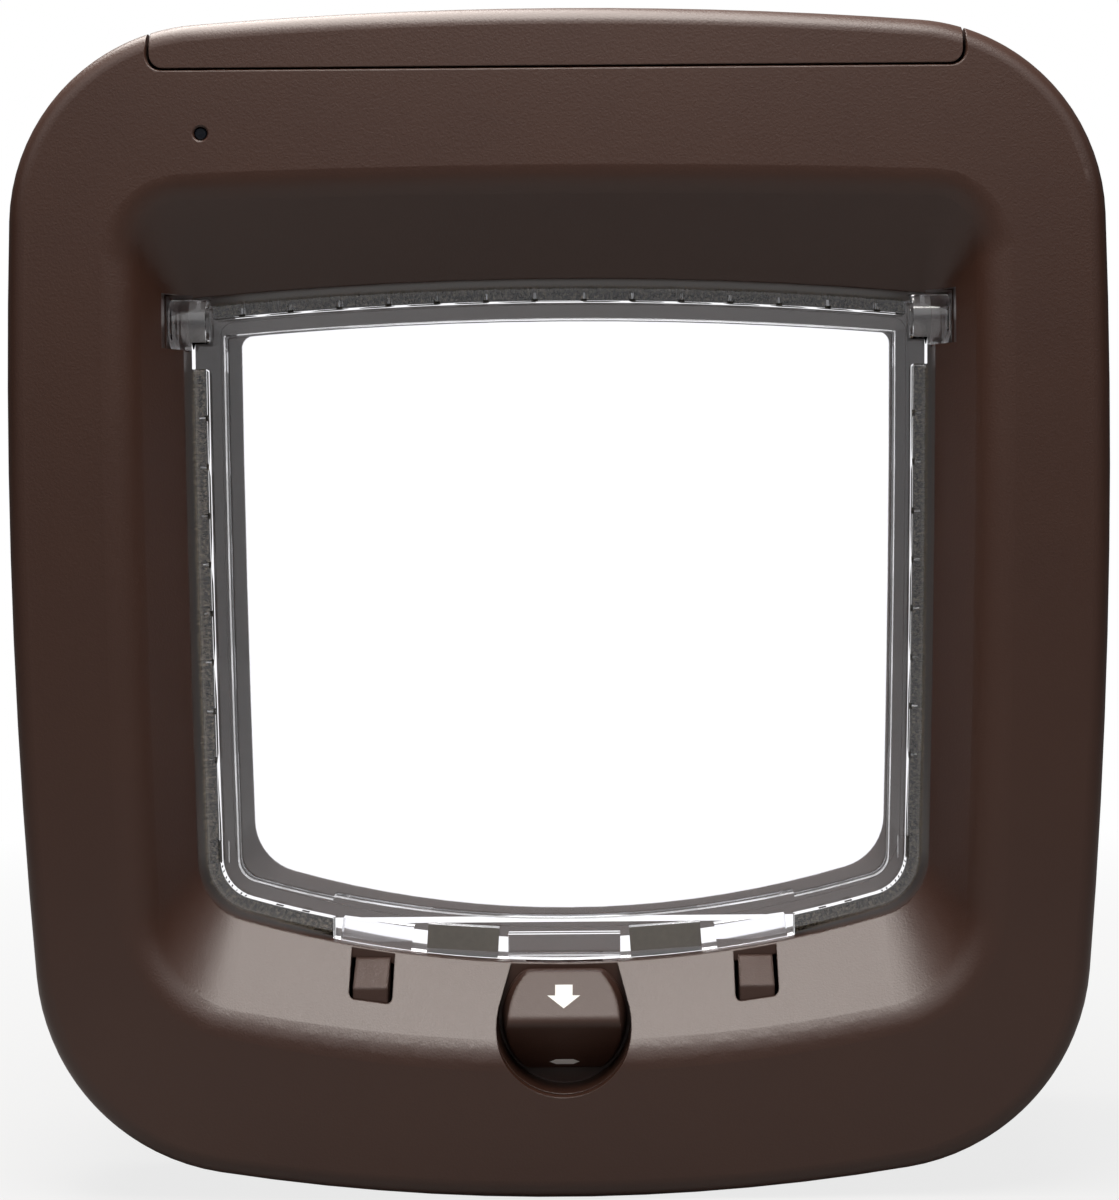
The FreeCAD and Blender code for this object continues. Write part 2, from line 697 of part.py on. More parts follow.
def back_housing():
    """Plate against the door with tunnel, tray, cup, bearings and bosses."""
    plate = UNIT.solid(-BACK_PLATE, 0, WALL + SHELL_GAP)
    front = THROAT_Y + SHELL_GAP
    thin = PASSAGE.solid(front, 0, -TUNNEL_WALL)
    thick = PASSAGE.solid(-BACK_PLATE, TUNNEL_REACH, -TUNNEL_THICK_WALL)
    bearing_end = HUB_START + HUB_LENGTH + HUB_GAP + PIN_LENGTH + PIN_END_WALL
    bearing = rod_x(HUB_RADIUS + HUB_GAP + BEARING_WALL, PASSAGE_HALF_TOP,
                    bearing_end, FLAP_Y, HINGE_Z)
    bearings = both_sides(bearing.common(block(0, UNIT_HALF_TOP, front, 0, 0, UNIT_TOP)))
    tray_walls, tray_hollow = tray()
    bosses = [rod_y(FIX_BOSS, -BACK_PLATE - FIX_REACH, 0, x, z) for x, z in fix_points()]
    posts = [rod_y(FRAME_BOSS, BOARD_Y + BOARD_THICK, -BACK_PLATE, x, z)
             for x, z in board_points()]
    body = fuse([plate, thin, thick, lock_cup()] + bearings + tray_walls + bosses
                + posts + motor_cradle() + magnet_pockets())
    rim_end = rear_rim_start() + REAR_RIM_WIDTH
    pocket = KNOB_RADIUS + KNOB_GAP
    holes = [PASSAGE.solid(front - CUT_LAP, TUNNEL_REACH + CUT_LAP),
             well(KNOB_RADIUS + KNOB_GAP + CUP_WALL + SHELL_GAP, front - CUT_LAP, cup_front()),
             rod_y(pocket, front - CUT_LAP, rim_end + RIM_END_GAP, 0, LOCK_Z),
             rod_y(STUB_RADIUS + RUNNING_GAP, rim_end, CUT_LAP, 0, LOCK_Z),
             coil_groove(), tray_hollow, button_hole()]
    holes += both_sides(bearing_space())
    holes += [rod_y(FIX_SHANK, -BACK_PLATE - FIX_REACH + FIX_BOSS_END, CUT_LAP, x, z)
              for x, z in fix_points()]
    for x, z in frame_points():
        holes.append(rod_y(FRAME_SHANK, -BACK_PLATE - CUT_LAP, CUT_LAP, x, z))
        holes.append(rod_y(FRAME_HEAD, -FRAME_HEAD_HEIGHT, CUT_LAP, x, z))
    for x, z in board_points():
        holes.append(rod_y(BOARD_SCREW, BOARD_Y, -BACK_PLATE, x, z))
    holes += [frame_magnet(s) for s in (-1, 1)]
    return cut(body, holes)


def bearing_space():
    """Hub pocket and pin bore of one hinge bearing."""
    pocket_end = HUB_START + HUB_LENGTH + HUB_GAP
    radius = HUB_RADIUS + HUB_GAP
    pocket = rod_x(radius, HUB_ROOT - HUB_GAP, pocket_end, FLAP_Y, HINGE_Z)
    slot = block(HUB_ROOT - HUB_GAP, pocket_end, FLAP_Y - HUB_SLOT, FLAP_Y,
                 HINGE_Z - radius, HINGE_Z + radius)
    bore = rod_x(PIN_RADIUS + PIN_GAP, HUB_START, pocket_end + PIN_LENGTH + PIN_END_GAP,
                 FLAP_Y, HINGE_Z)
    return fuse([pocket, slot, bore])


def coil_groove():
    end = COIL_START + COIL_WIDTH
    floor = TUNNEL_THICK_WALL - COIL_DEPTH
    return PASSAGE.ring(COIL_START, end, -TUNNEL_THICK_WALL - CUT_LAP, -floor)


def antenna_coil():
    floor = TUNNEL_THICK_WALL - COIL_DEPTH
    return PASSAGE.ring(COIL_START + COIL_GAP, COIL_START + COIL_WIDTH - COIL_GAP,
                        -TUNNEL_THICK_WALL + COIL_GAP, -floor)


# Frame magnets under the passage's floor

def frame_magnet(side):
    x = side * FRAME_MAGNET_X
    half, deep = FRAME_MAGNET_LENGTH / 2, FRAME_MAGNET_THICK / 2
    top = floor_z(FRAME_MAGNET_X) - TUNNEL_WALL - MAGNET_SINK
    return block(x - half, x + half, FLAP_Y - deep, FLAP_Y + deep,
                 top - FRAME_MAGNET_HEIGHT, top)


def magnet_pockets():
    """A box under the floor round each frame magnet."""
    boxes = []
    for s in (-1, 1):
        x = s * FRAME_MAGNET_X
        half = FRAME_MAGNET_LENGTH / 2 + POCKET_WALL
        top = floor_z(FRAME_MAGNET_X) - TUNNEL_WALL / 2
        low = top - FRAME_MAGNET_HEIGHT - TUNNEL_WALL
        boxes.append(block(x - half, x + half, THROAT_Y + 2 * SHELL_GAP, -BACK_PLATE, low, top))
    return boxes


def floor_z(x, inset=0.0):
    """Height of the passage's floor at a distance from the middle."""
    (cx, cz), radius = PASSAGE.bottom
    radius -= inset
    return cz - math.sqrt(radius ** 2 - (x - cx) ** 2)


# Exterior frame

def exterior_frame():
    outer = bevelled(UNIT.solid(OUTER_BACK, OUTER_FACE, OUTER_INSET), OUTER_BEVEL, OUTER_FACE)
    shell = outer.cut(UNIT.solid(OUTER_BACK - CUT_LAP, OUTER_FACE - WALL, OUTER_INSET + WALL))
    sleeve = PASSAGE.solid(SLEEVE_START, OUTER_FACE - WALL / 2, -SLEEVE_OUT)
    bosses = [rod_y(CAP_RADIUS + CAP_GAP + CAP_WALL, OUTER_BACK, OUTER_FACE - WALL / 2, x, z)
              for x, z in fix_points()]
    body = fuse([shell, sleeve] + bosses)
    liner_start = TUNNEL_REACH + LINER_GAP
    holes = [PASSAGE.solid(SLEEVE_START - CUT_LAP, liner_start, -SLEEVE_IN),
             PASSAGE.solid(liner_start - CUT_LAP, OUTER_FACE + CUT_LAP),
             PASSAGE.ring(liner_start - CUT_LAP, OUTER_BACK + LINER_REACH,
                          -SLEEVE_IN, -TUNNEL_WALL)]
    for x, z in fix_points():
        holes.append(rod_y(FIX_SHANK + FIX_HOLE_GAP, OUTER_BACK - CUT_LAP, OUTER_FACE, x, z))
        holes.append(rod_y(CAP_RADIUS + CAP_GAP, head_seat(), OUTER_FACE + CUT_LAP, x, z))
    return cut(body, holes)


def head_seat():
    return OUTER_BACK + FIX_HEAD_SETBACK


def fixing_screws():
    """Long screws from the weather half into the bosses of the room half."""
    screws = []
    end = head_seat() + FIX_HEAD_HEIGHT
    for x, z in fix_points():
        tip = FIX_BOSS_END + FIX_TIP_GAP - BACK_PLATE - FIX_REACH
        shank = rod_y(FIX_SHANK, tip, head_seat() + CUT_LAP, x, z)
        head = rod_y(FIX_HEAD, head_seat(), end, x, z)
        screws.append(shank.fuse(head))
    return Part.makeCompound(screws)


def screw_covers():
    """Push-in caps over the screw heads, just under the face."""
    start, end = head_seat() + FIX_HEAD_HEIGHT + SEAT_GAP, OUTER_FACE - CAP_SINK
    return Part.makeCompound([rod_y(CAP_RADIUS, start, end, x, z) for x, z in fix_points()])


# Flap

def panel_inset():
    return FLAP_GAP + PILE_WIDTH


def flap_panel():
    edge = panel_inset()
    half_rim = RIM_THICK / 2
    sheet = PASSAGE.solid(FLAP_Y - PANEL_THICK / 2, FLAP_Y + PANEL_THICK / 2, edge)
    rim = PASSAGE.ring(FLAP_Y - half_rim, FLAP_Y + half_rim, edge, edge + RIM_WIDTH)
    parts = [sheet, rim, bottom_rail()] + flange() + teeth()
    for side in (-1, 1):
        parts += ear(side)
    body = fuse(parts)
    holes = [flap_magnet_space(s) for s in (-1, 1)] + [rail_slot(s) for s in (-1, 1)]
    holes.append(tongue_window())
    return cut(body, holes)


def bottom_rail():
    """The thick lower edge that holds the magnets and the tongue."""
    half = RAIL_THICK / 2
    band = PASSAGE.solid(FLAP_Y - half, FLAP_Y + half, FLAP_GAP)
    inner = PASSAGE.solid(FLAP_Y - half, FLAP_Y + half, FLAP_GAP + RAIL_HEIGHT)
    rail = band.cut(inner).common(slab_z(UNIT_BOTTOM, 0, -RAIL_HALF, RAIL_HALF))
    low = PASSAGE_BOTTOM + FLAP_GAP
    wedge = prism_x([(FLAP_Y + half, low + RAIL_HEIGHT), (FLAP_Y + half - RAIL_TAPER, low),
                     (FLAP_Y + half, low - CUT_LAP)], -RAIL_HALF, RAIL_HALF)
    return rail.cut(wedge)


def flange():
    """The thin lip in front of the pile, with a clip on each side."""
    front = FLAP_Y - RIM_THICK / 2
    lip = PASSAGE.ring(front, front + FLANGE_THICK, FLANGE_INSET, panel_inset() + FUSE_LAP)
    lip = lip.common(fuse(pile_regions()))
    z = PASSAGE_BOTTOM + CLIP_UP
    x = side_x(z, panel_inset())
    clip = block(x - CLIP_WIDTH / 2, x + CLIP_WIDTH / 2, front - CLIP_RISE,
                 FLAP_Y - PILE_THICK / 2, z - CLIP_HEIGHT / 2, z + CLIP_HEIGHT / 2)
    return [lip] + both_sides(clip)


def ear(side):
    """The moulding's shoulder, hub and pin at one end of the hinge."""
    inset = FLAP_GAP + EAR_INSET
    half = RIM_THICK / 2
    band = PASSAGE.ring(FLAP_Y - half, FLAP_Y + half, inset, panel_inset() + RIM_WIDTH)
    x0, x1 = sorted((side * EAR_START, side * UNIT_HALF_TOP))
    shoulder = band.common(slab_z(HINGE_Z - EAR_DROP, HINGE_Z + EAR_RISE, x0, x1))
    hub = rod_x(HUB_RADIUS, HUB_ROOT, HUB_START + HUB_LENGTH, FLAP_Y, HINGE_Z)
    pin = rod_x(PIN_RADIUS, HUB_START, HUB_START + HUB_LENGTH + PIN_LENGTH,
                FLAP_Y, HINGE_Z)
    bits = [hub, pin]
    if side < 0:
        bits = [bit.mirror(V(0, 0, 0), X_AXIS) for bit in bits]
    return [shoulder] + bits


def side_x(z, inset):
    """Half width of the passage outline at a height, drawn in."""
    (cx, cz), radius = PASSAGE.side
    return cx + math.sqrt((radius - inset) ** 2 - (z - cz) ** 2)


def top_z(x, inset):
    (cx, cz), radius = PASSAGE.top
    return cz + math.sqrt((radius - inset) ** 2 - (x - cx) ** 2)


def teeth():
    """Small teeth on the rim's room side that grip the pile strips."""
    found = []
    inset = panel_inset()
    y0, y1 = FLAP_Y - RIM_THICK / 2 + TOOTH_SINK, FLAP_Y - PILE_THICK / 2
    half = TOOTH_WIDTH / 2
    first = HINGE_Z - EAR_DROP - TOOTH_PITCH
    for n in range(SIDE_TEETH):
        z = first - n * TOOTH_PITCH
        x = side_x(z, inset)
        found += both_sides(block(x - TOOTH_ROOT, x + TOOTH_REACH, y0, y1, z - half, z + half))
    for n in range(TOP_TEETH):
        x = (n - (TOP_TEETH - 1) / 2) * TOOTH_PITCH
        z = top_z(x, inset)
        found.append(block(x - half, x + half, y0, y1, z - TOOTH_ROOT, z + TOOTH_REACH))
    return found


def magnet_z():
    return floor_z(FLAP_MAGNET_X) + FLAP_GAP + MAGNET_RISE + FLAP_MAGNET_HEIGHT / 2


def flap_magnet(side):
    x, z = side * FLAP_MAGNET_X, magnet_z()
    bar = block(x - FLAP_MAGNET_LENGTH / 2, x + FLAP_MAGNET_LENGTH / 2,
                FLAP_Y - FLAP_MAGNET_THICK / 2, FLAP_Y + FLAP_MAGNET_THICK / 2,
                z - FLAP_MAGNET_HEIGHT / 2, z + FLAP_MAGNET_HEIGHT / 2)
    return tilted(bar, -side * MAGNET_SLOPE, x, z)


def flap_magnet_space(side):
    """The magnet's pocket, open at the rail's lower edge."""
    x, z = side * FLAP_MAGNET_X, magnet_z()
    pocket = block(x - FLAP_MAGNET_LENGTH / 2, x + FLAP_MAGNET_LENGTH / 2,
                   FLAP_Y - FLAP_MAGNET_THICK / 2, FLAP_Y + FLAP_MAGNET_THICK / 2,
                   z - FLAP_MAGNET_HEIGHT, z + FLAP_MAGNET_HEIGHT / 2)
    return tilted(pocket, -side * MAGNET_SLOPE, x, z)


def rail_slot(side):
    """An empty slot in the rail outside each magnet, open downwards."""
    x0, x1 = sorted((side * SLOT_START, side * (SLOT_START + SLOT_LENGTH)))
    z = floor_z(SLOT_START + SLOT_LENGTH / 2) + FLAP_GAP + SLOT_RISE
    slot = block(x0, x1, FLAP_Y - FLAP_MAGNET_THICK / 2, FLAP_Y + FLAP_MAGNET_THICK / 2,
                 z - SLOT_HEIGHT, z + SLOT_HEIGHT)
    return tilted(slot, -side * 2 * MAGNET_SLOPE, side * (SLOT_START + SLOT_LENGTH / 2), z)


def tongue_window():
    """The thin clear window of the tongue between the two magnets."""
    z = PASSAGE_BOTTOM + FLAP_GAP + TONGUE_RISE
    front = block(-TONGUE_HALF, TONGUE_HALF, FLAP_Y - RAIL_THICK,
                  FLAP_Y - PANEL_THICK / 2, z, z + TONGUE_HEIGHT)
    rear = block(-TONGUE_HALF, TONGUE_HALF, FLAP_Y + PANEL_THICK / 2,
                 FLAP_Y + RAIL_THICK, z, z + TONGUE_HEIGHT)
    return front.fuse(rear)


def pile_regions():
    """Where the strips lie: the left side, the right side and the top."""
    low = [sorted((s * RAIL_HALF, s * UNIT_HALF_TOP)) for s in (-1, 1)]
    sides = [slab_z(UNIT_BOTTOM, HINGE_Z - EAR_DROP - PILE_GAP, x0, x1) for x0, x1 in low]
    return sides + [slab_z(HINGE_Z, UNIT_TOP, -EAR_START, EAR_START)]


def pile_strip(number):
    half = PILE_THICK / 2
    band = PASSAGE.ring(FLAP_Y - half, FLAP_Y + half, FLAP_GAP, panel_inset())
    return band.common(pile_regions()[number])


# Rotary lock

def knob_back():
    return THROAT_Y - 2 * SHELL_GAP


def knob_outline(start, end):
    """The knob's round form between two Y, with flats and soft corners."""
    disc = rod_y(KNOB_RADIUS, start, end, 0, LOCK_Z)
    bar = disc.common(slab_z(LOCK_Z - KNOB_FLAT, LOCK_Z + KNOB_FLAT))
    corners = [e for e in bar.Edges
               if e.BoundBox.YLength > (end - start) / 2 and e.BoundBox.XLength < CLOSE]
    return bar.makeFillet(KNOB_CORNER, corners)


def lock_knob():
    """A round base with a finger ridge across it that narrows outwards."""
    back = knob_back()
    base_front = back - KNOB_BASE
    ridge = base_front - KNOB_RIDGE
    high, low = LOCK_Z + KNOB_FLAT, LOCK_Z - KNOB_FLAT
    wedge = prism_x([(back, high), (base_front - KNOB_SHOULDER, high), (ridge, LOCK_Z + RIDGE_Z),
                     (base_front - KNOB_TOE, low), (back, low)], -KNOB_RADIUS, KNOB_RADIUS)
    crest = [e for e in wedge.Edges
             if e.BoundBox.XLength > KNOB_RADIUS and edge_at(e, ridge)]
    wedge = wedge.makeFillet(RIDGE_ROUND, crest)
    length = back - ridge
    cone = Part.makeCone(KNOB_RADIUS, KNOB_RADIUS - KNOB_TAPER, length,
                         V(0, back, LOCK_Z), -Y_AXIS)
    body = wedge.common([cone]).common(knob_outline(ridge, back))
    body = body.fuse(knob_outline(base_front, back)).removeSplitter()
    return body.cut(rod_y(KNOB_SCREW, back - KNOB_SCREW_GRIP - CUT_LAP, back, 0, LOCK_Z))


def lock_barrel():
    start = knob_back()
    rim_start = rear_rim_start()
    rim_end = rim_start + REAR_RIM_WIDTH
    shaft = rod_y(BARREL_RADIUS, start, rim_start, 0, LOCK_Z)
    rim = rod_y(REAR_RIM_RADIUS, rim_start, rim_end, 0, LOCK_Z)
    rim = rim.cut([slab_z(LOCK_Z + REAR_RIM_FLAT, PASSAGE_TOP),
                   slab_z(UNIT_BOTTOM, PASSAGE_TOP, REAR_RIM_FLAT)])
    stub = rod_y(STUB_RADIUS, rim_end, -STUB_SINK, 0, LOCK_Z)
    sink = rod_y(KNOB_SCREW_HEAD + STUB_SINK, -BACK_PLATE, 0, 0, LOCK_Z)
    bore = rod_y(KNOB_SCREW, start - CUT_LAP, 0, 0, LOCK_Z)
    return cut(fuse([shaft, rim, stub]), [sink, bore])


def knob_screw():
    seat = -BACK_PLATE
    shank = rod_y(KNOB_SCREW, knob_back() - KNOB_SCREW_GRIP, seat, 0, LOCK_Z)
    head = rod_y(KNOB_SCREW_HEAD, seat, seat + KNOB_SCREW_HEIGHT, 0, LOCK_Z)
    half, wide = KNOB_SCREW_HEAD * SCREW_CROSS, KNOB_SCREW * CROSS_WIDTH
    slot = block(-half, half, seat + KNOB_SCREW_HEIGHT / 2, 0, LOCK_Z - wide, LOCK_Z + wide)
    return shank.fuse(head).cut([slot, tilted(slot, 90, 0, LOCK_Z)])


# Latch

def catch(side):
    """One catch: a post on the latch bar, its sloped head with a nose."""
    front, nose = catch_front(), nose_front()
    back = front + CATCH_DEPTH
    x = side * CATCH_X
    profile = [(front, BAR_BOTTOM + BAR_HEIGHT), (front + BAR_THICK, BAR_BOTTOM + BAR_HEIGHT),
               (front + BAR_THICK, CATCH_STEP_Z), (back, CATCH_STEP_Z + back - front - BAR_THICK),
               (back, CATCH_TOP), (nose, CATCH_TOP - CATCH_SLOPE),
               (nose, CATCH_TOP - NOSE_DROP), (front, CATCH_TOP - NOSE_DROP - CATCH_NOSE)]
    return prism_x(profile, x - CATCH_WIDTH / 2, x + CATCH_WIDTH / 2)


def latch_bar():
    front = catch_front()
    x0 = PINION_X - PINION_WIDTH / 2 - RACK_SIDE
    x1 = PINION_X + PINION_WIDTH / 2 + RACK_SIDE
    left = -CATCH_X - CATCH_WIDTH / 2 - BAR_END
    bar = block(left, x1, front, front + BAR_THICK, BAR_BOTTOM, BAR_BOTTOM + BAR_HEIGHT)
    rack = prism_x(rack_profile(), x0, x1)
    return fuse([bar, rack])


def pitch_line():
    """Y of the rack's pitch line, on the rear of the latch bar."""
    return catch_front() + BAR_THICK + TOOTH_MODULE * DEDENDUM


def rack_profile():
    """Corners (y, z) of the rack: straight flanks at the pressure angle."""
    pitch = math.pi * TOOTH_MODULE
    line = pitch_line()
    tip = line + TOOTH_ADDENDUM * TOOTH_MODULE
    root = line - DEDENDUM * TOOTH_MODULE
    lean = math.tan(math.radians(PRESSURE_ANGLE))
    half = pitch / 4 - TOOTH_BACKLASH / 4
    points = [(catch_front(), PINION_Z + RACK_HALF), (catch_front(), PINION_Z - RACK_HALF),
              (root, PINION_Z - RACK_HALF)]
    count = int((2 * RACK_HALF) / pitch)
    start = -(count - 1) / 2
    for n in range(count):
        z = PINION_Z + (start + n) * pitch
        points += [(root, z - half - (line - root) * lean),
                   (tip, z - half + (tip - line) * lean),
                   (tip, z + half - (tip - line) * lean),
                   (root, z + half + (line - root) * lean)]
    points.append((root, PINION_Z + RACK_HALF))
    return points


def pinion_y():
    return pitch_line() + TOOTH_MODULE * PINION_TEETH / 2


def pinion_flank(base, radius):
    """Angle of the involute flank from its tooth's middle, at a radius."""
    pitch_radius = TOOTH_MODULE * PINION_TEETH / 2
    half = math.pi / (2 * PINION_TEETH) - TOOTH_BACKLASH / 4 / pitch_radius
    alpha = math.radians(PRESSURE_ANGLE)
    start = half + math.tan(alpha) - alpha
    angle = math.acos(min(1.0, base / radius))
    return start - (math.tan(angle) - angle)


def latch_pinion():
    """Involute pinion on the motor's shaft, a gap facing the rack's tooth."""
    pitch_radius = TOOTH_MODULE * PINION_TEETH / 2
    base = pitch_radius * math.cos(math.radians(PRESSURE_ANGLE))
    root = pitch_radius - DEDENDUM * TOOTH_MODULE
    tip = pitch_radius + TOOTH_ADDENDUM * TOOTH_MODULE
    count = int((2 * RACK_HALF) / (math.pi * TOOTH_MODULE))
    facing_gap = count % 2 == 1
    phase = math.pi / PINION_TEETH if facing_gap else 0.0
    radii = [base + (tip - base) * n / FLANK_STEPS for n in range(FLANK_STEPS + 1)]
    corners = []
    for tooth in range(PINION_TEETH):
        middle = math.pi + phase + 2 * math.pi * tooth / PINION_TEETH
        low = pinion_flank(base, base)
        corners.append((root, middle - low))
        corners += [(r, middle - pinion_flank(base, r)) for r in radii]
        corners += [(r, middle + pinion_flank(base, r)) for r in reversed(radii)]
        corners.append((root, middle + low))
    points = [(pinion_y() + r * math.cos(a), PINION_Z + r * math.sin(a)) for r, a in corners]
    x0, x1 = PINION_X - PINION_WIDTH / 2, PINION_X + PINION_WIDTH / 2
    gear = prism_x(points, x0, x1)
    end = x1 + PINION_HUB_LENGTH
    hub = rod_x(PINION_HUB, x1 - FUSE_LAP, end, pinion_y(), PINION_Z)
    bore = rod_x(MOTOR_SHAFT + RUNNING_GAP, x0 - CUT_LAP, end + CUT_LAP, pinion_y(), PINION_Z)
    return cut(gear.fuse(hub), [bore])


def motor_end():
    return PINION_X - PINION_WIDTH / 2 - PINION_SIDE_GAP


def latch_motor():
    """Small geared motor: can, end cap, gearbox plates and shaft."""
    y, z, end = pinion_y(), PINION_Z, motor_end()
    half = MOTOR_HEIGHT / 2
    gearbox = block(end - GEARBOX_LENGTH, end, y - MOTOR_WIDTH / 2, y + MOTOR_WIDTH / 2,
                    z - half, z + half)
    tail = end - MOTOR_LENGTH
    can = rod_x(half, tail, end - GEARBOX_LENGTH, y, z)
    can = can.common(block(0, end, y - MOTOR_WIDTH / 2, y + MOTOR_WIDTH / 2, z - half, z + half))
    shaft = rod_x(MOTOR_SHAFT, end - CUT_LAP, PINION_X + PINION_WIDTH / 2 + SHAFT_END, y, z)
    boss = rod_x(MOTOR_BOSS, tail - MOTOR_BOSS_LENGTH, tail + FUSE_LAP, y, z)
    return fuse([gearbox, can, shaft, boss])


def motor_cradle():
    """Two ribs on the back plate that hold the motor."""
    y, z, end = pinion_y(), PINION_Z, motor_end()
    ribs = []
    half = MOTOR_HEIGHT / 2
    for x in (end - CRADLE_INSET - TRAY_WALL, end - MOTOR_LENGTH + CRADLE_INSET):
        rib = block(x, x + TRAY_WALL, y - CRADLE_DEPTH, -BACK_PLATE,
                    z - half - TRAY_WALL, z + half + TRAY_WALL)
        room = block(x - CUT_LAP, x + TRAY_WALL + CUT_LAP, y - MOTOR_WIDTH, y + MOTOR_WIDTH / 2,
                     z - half, z + half)
        ribs.append(rib.cut(room))
    return ribs


# Batteries and contacts

def cell_places():
    """Middle (x, y) and direction of each cell's positive end."""
    reach = TRAY_DIVIDER_HALF + PLATE_THICK + CELL_GAP / 2
    back, front = cell_rows()
    return [(s * reach, y, s, t) for s in (-1, 1) for y, t in ((back, 1), (front, -1))]


def battery(place):
    x, y, side, turn = place
    z = TRAY_FLOOR_Z + CELL_RADIUS
    span = CELL_LENGTH + SPRING_LENGTH
    inner, outer = x, x + side * span
    plus, minus = (outer, inner) if turn > 0 else (inner, outer)
    way = 1 if plus > minus else -1
    body_end = plus - way * CELL_NUB
    low, high = sorted((body_end, body_end - way * (CELL_LENGTH - CELL_NUB)))
    can = rod_x(CELL_RADIUS, low, high, y, z)
    nub_low, nub_high = sorted((body_end, plus))
    return can.fuse(rod_x(CELL_NUB_RADIUS, nub_low, nub_high, y, z))


def spring(place):
    """A folded leaf spring between a cell's negative end and its plate."""
    x, y, side, turn = place
    middle = TRAY_FLOOR_Z + CELL_RADIUS
    span = CELL_LENGTH + SPRING_LENGTH
    inner, outer = x, x + side * span
    plus, minus = (outer, inner) if turn > 0 else (inner, outer)
    way = 1 if plus > minus else -1
    bend = SPRING_LENGTH - LEAF_THICK
    rise = CELL_RADIUS * LEAF_SHARE
    line = [(0, -rise), (bend, rise / 8), (bend / 2, 3 * rise / 4), (LEAF_THICK, rise)]
    outward = line + [(u + LEAF_THICK, w) for u, w in reversed(line[:3])]
    loop = [V(minus + way * u, y - LEAF_WIDTH / 2, middle + w) for u, w in outward]
    return Part.Face(Part.makePolygon(loop + loop[:1])).extrude(V(0, LEAF_WIDTH, 0))


def battery_springs():
    return Part.makeCompound([spring(p) for p in cell_places()])


def battery_plates():
    """Contact plates at the tray's ends and at the divider, one per row."""
    z = TRAY_FLOOR_Z + CELL_RADIUS
    half = TRAY_DIVIDER_HALF + CELL_LENGTH + SPRING_LENGTH + PLATE_THICK + CELL_GAP / 2
    half_plate = CELL_RADIUS * PLATE_SHARE
    plates = []
    for s in (-1, 1):
        for y in cell_rows():
            for x in (TRAY_DIVIDER_HALF, half):
                x0, x1 = sorted((s * x, s * (x + PLATE_THICK)))
                plates.append(block(x0, x1, y - half_plate, y + half_plate,
                                    z - half_plate, z + half_plate))
    return Part.makeCompound(plates)


# Electronics

def board_points():
    return ((BOARD_LEFT + BOARD_SCREW_X, BOARD_BOTTOM + BOARD_SCREW_Z),
            (BOARD_RIGHT - BOARD_SCREW_X, BOARD_TOP - BOARD_SCREW_Z))


def circuit_board():
    back = BOARD_Y + BOARD_THICK
    plate = block(BOARD_LEFT, BOARD_RIGHT, BOARD_Y, back, BOARD_BOTTOM, BOARD_TOP)
    parts = [block(x, x + w, BOARD_Y - t, BOARD_Y, BOARD_BOTTOM + z, BOARD_BOTTOM + z + h)
             for x, z, w, h, t in CHIPS]
    switch = block(-BUTTON_RADIUS, BUTTON_RADIUS, BOARD_Y - SWITCH_DEPTH, BOARD_Y,
                   BOARD_TOP - SWITCH_HEIGHT, BOARD_TOP - SWITCH_DROP)
    holes = [rod_y(BOARD_SCREW_HOLE, BOARD_Y - CUT_LAP, back + CUT_LAP, x, z)
             for x, z in board_points()]
    return cut(fuse([plate, switch] + parts), holes)


def board_screws():
    screws = []
    for x, z in board_points():
        shank = rod_y(BOARD_SCREW, BOARD_Y - BOARD_SCREW_HEIGHT, -BACK_PLATE - CUT_LAP, x, z)
        head = rod_y(BOARD_SCREW_HEAD, BOARD_Y - BOARD_SCREW_HEIGHT, BOARD_Y, x, z)
        screws.append(shank.fuse(head))
    return Part.makeCompound(screws)


def led_lens():
    """A light pipe from the board to the front face."""
    rod = rod_y(LED_RADIUS, FRONT + LED_SINK, BOARD_Y, LED_X, LED_Z)
    return bevelled(rod, LED_RADIUS / 4, FRONT + LED_SINK)


def button_y():
    return BOARD_Y - SWITCH_DEPTH / 2


def button_hole():
    top = TRAY_FLOOR_Z + 2 * CELL_RADIUS
    return rod_z(BUTTON_RADIUS + BUTTON_GAP, TRAY_FLOOR_Z, top + CUT_LAP, 0, button_y())


def learn_button():
    top = TRAY_FLOOR_Z + 2 * CELL_RADIUS
    cap = rod_z(BUTTON_RADIUS, top - BUTTON_CAP, top + BUTTON_RISE, 0, button_y())
    stem = rod_z(BUTTON_STEM, BOARD_TOP + BUTTON_TRAVEL + SEAT_GAP, top, 0, button_y())
    return cap.fuse(stem)


def frame_screws():
    screws = []
    for x, z in frame_points():
        shank = rod_y(FRAME_SHANK, -FRAME_REACH, -FRAME_HEAD_HEIGHT, x, z)
        head = rod_y(FRAME_HEAD, -FRAME_HEAD_HEIGHT, -SEAT_GAP, x, z)
        screws.append(shank.fuse(head))
    return Part.makeCompound(screws)


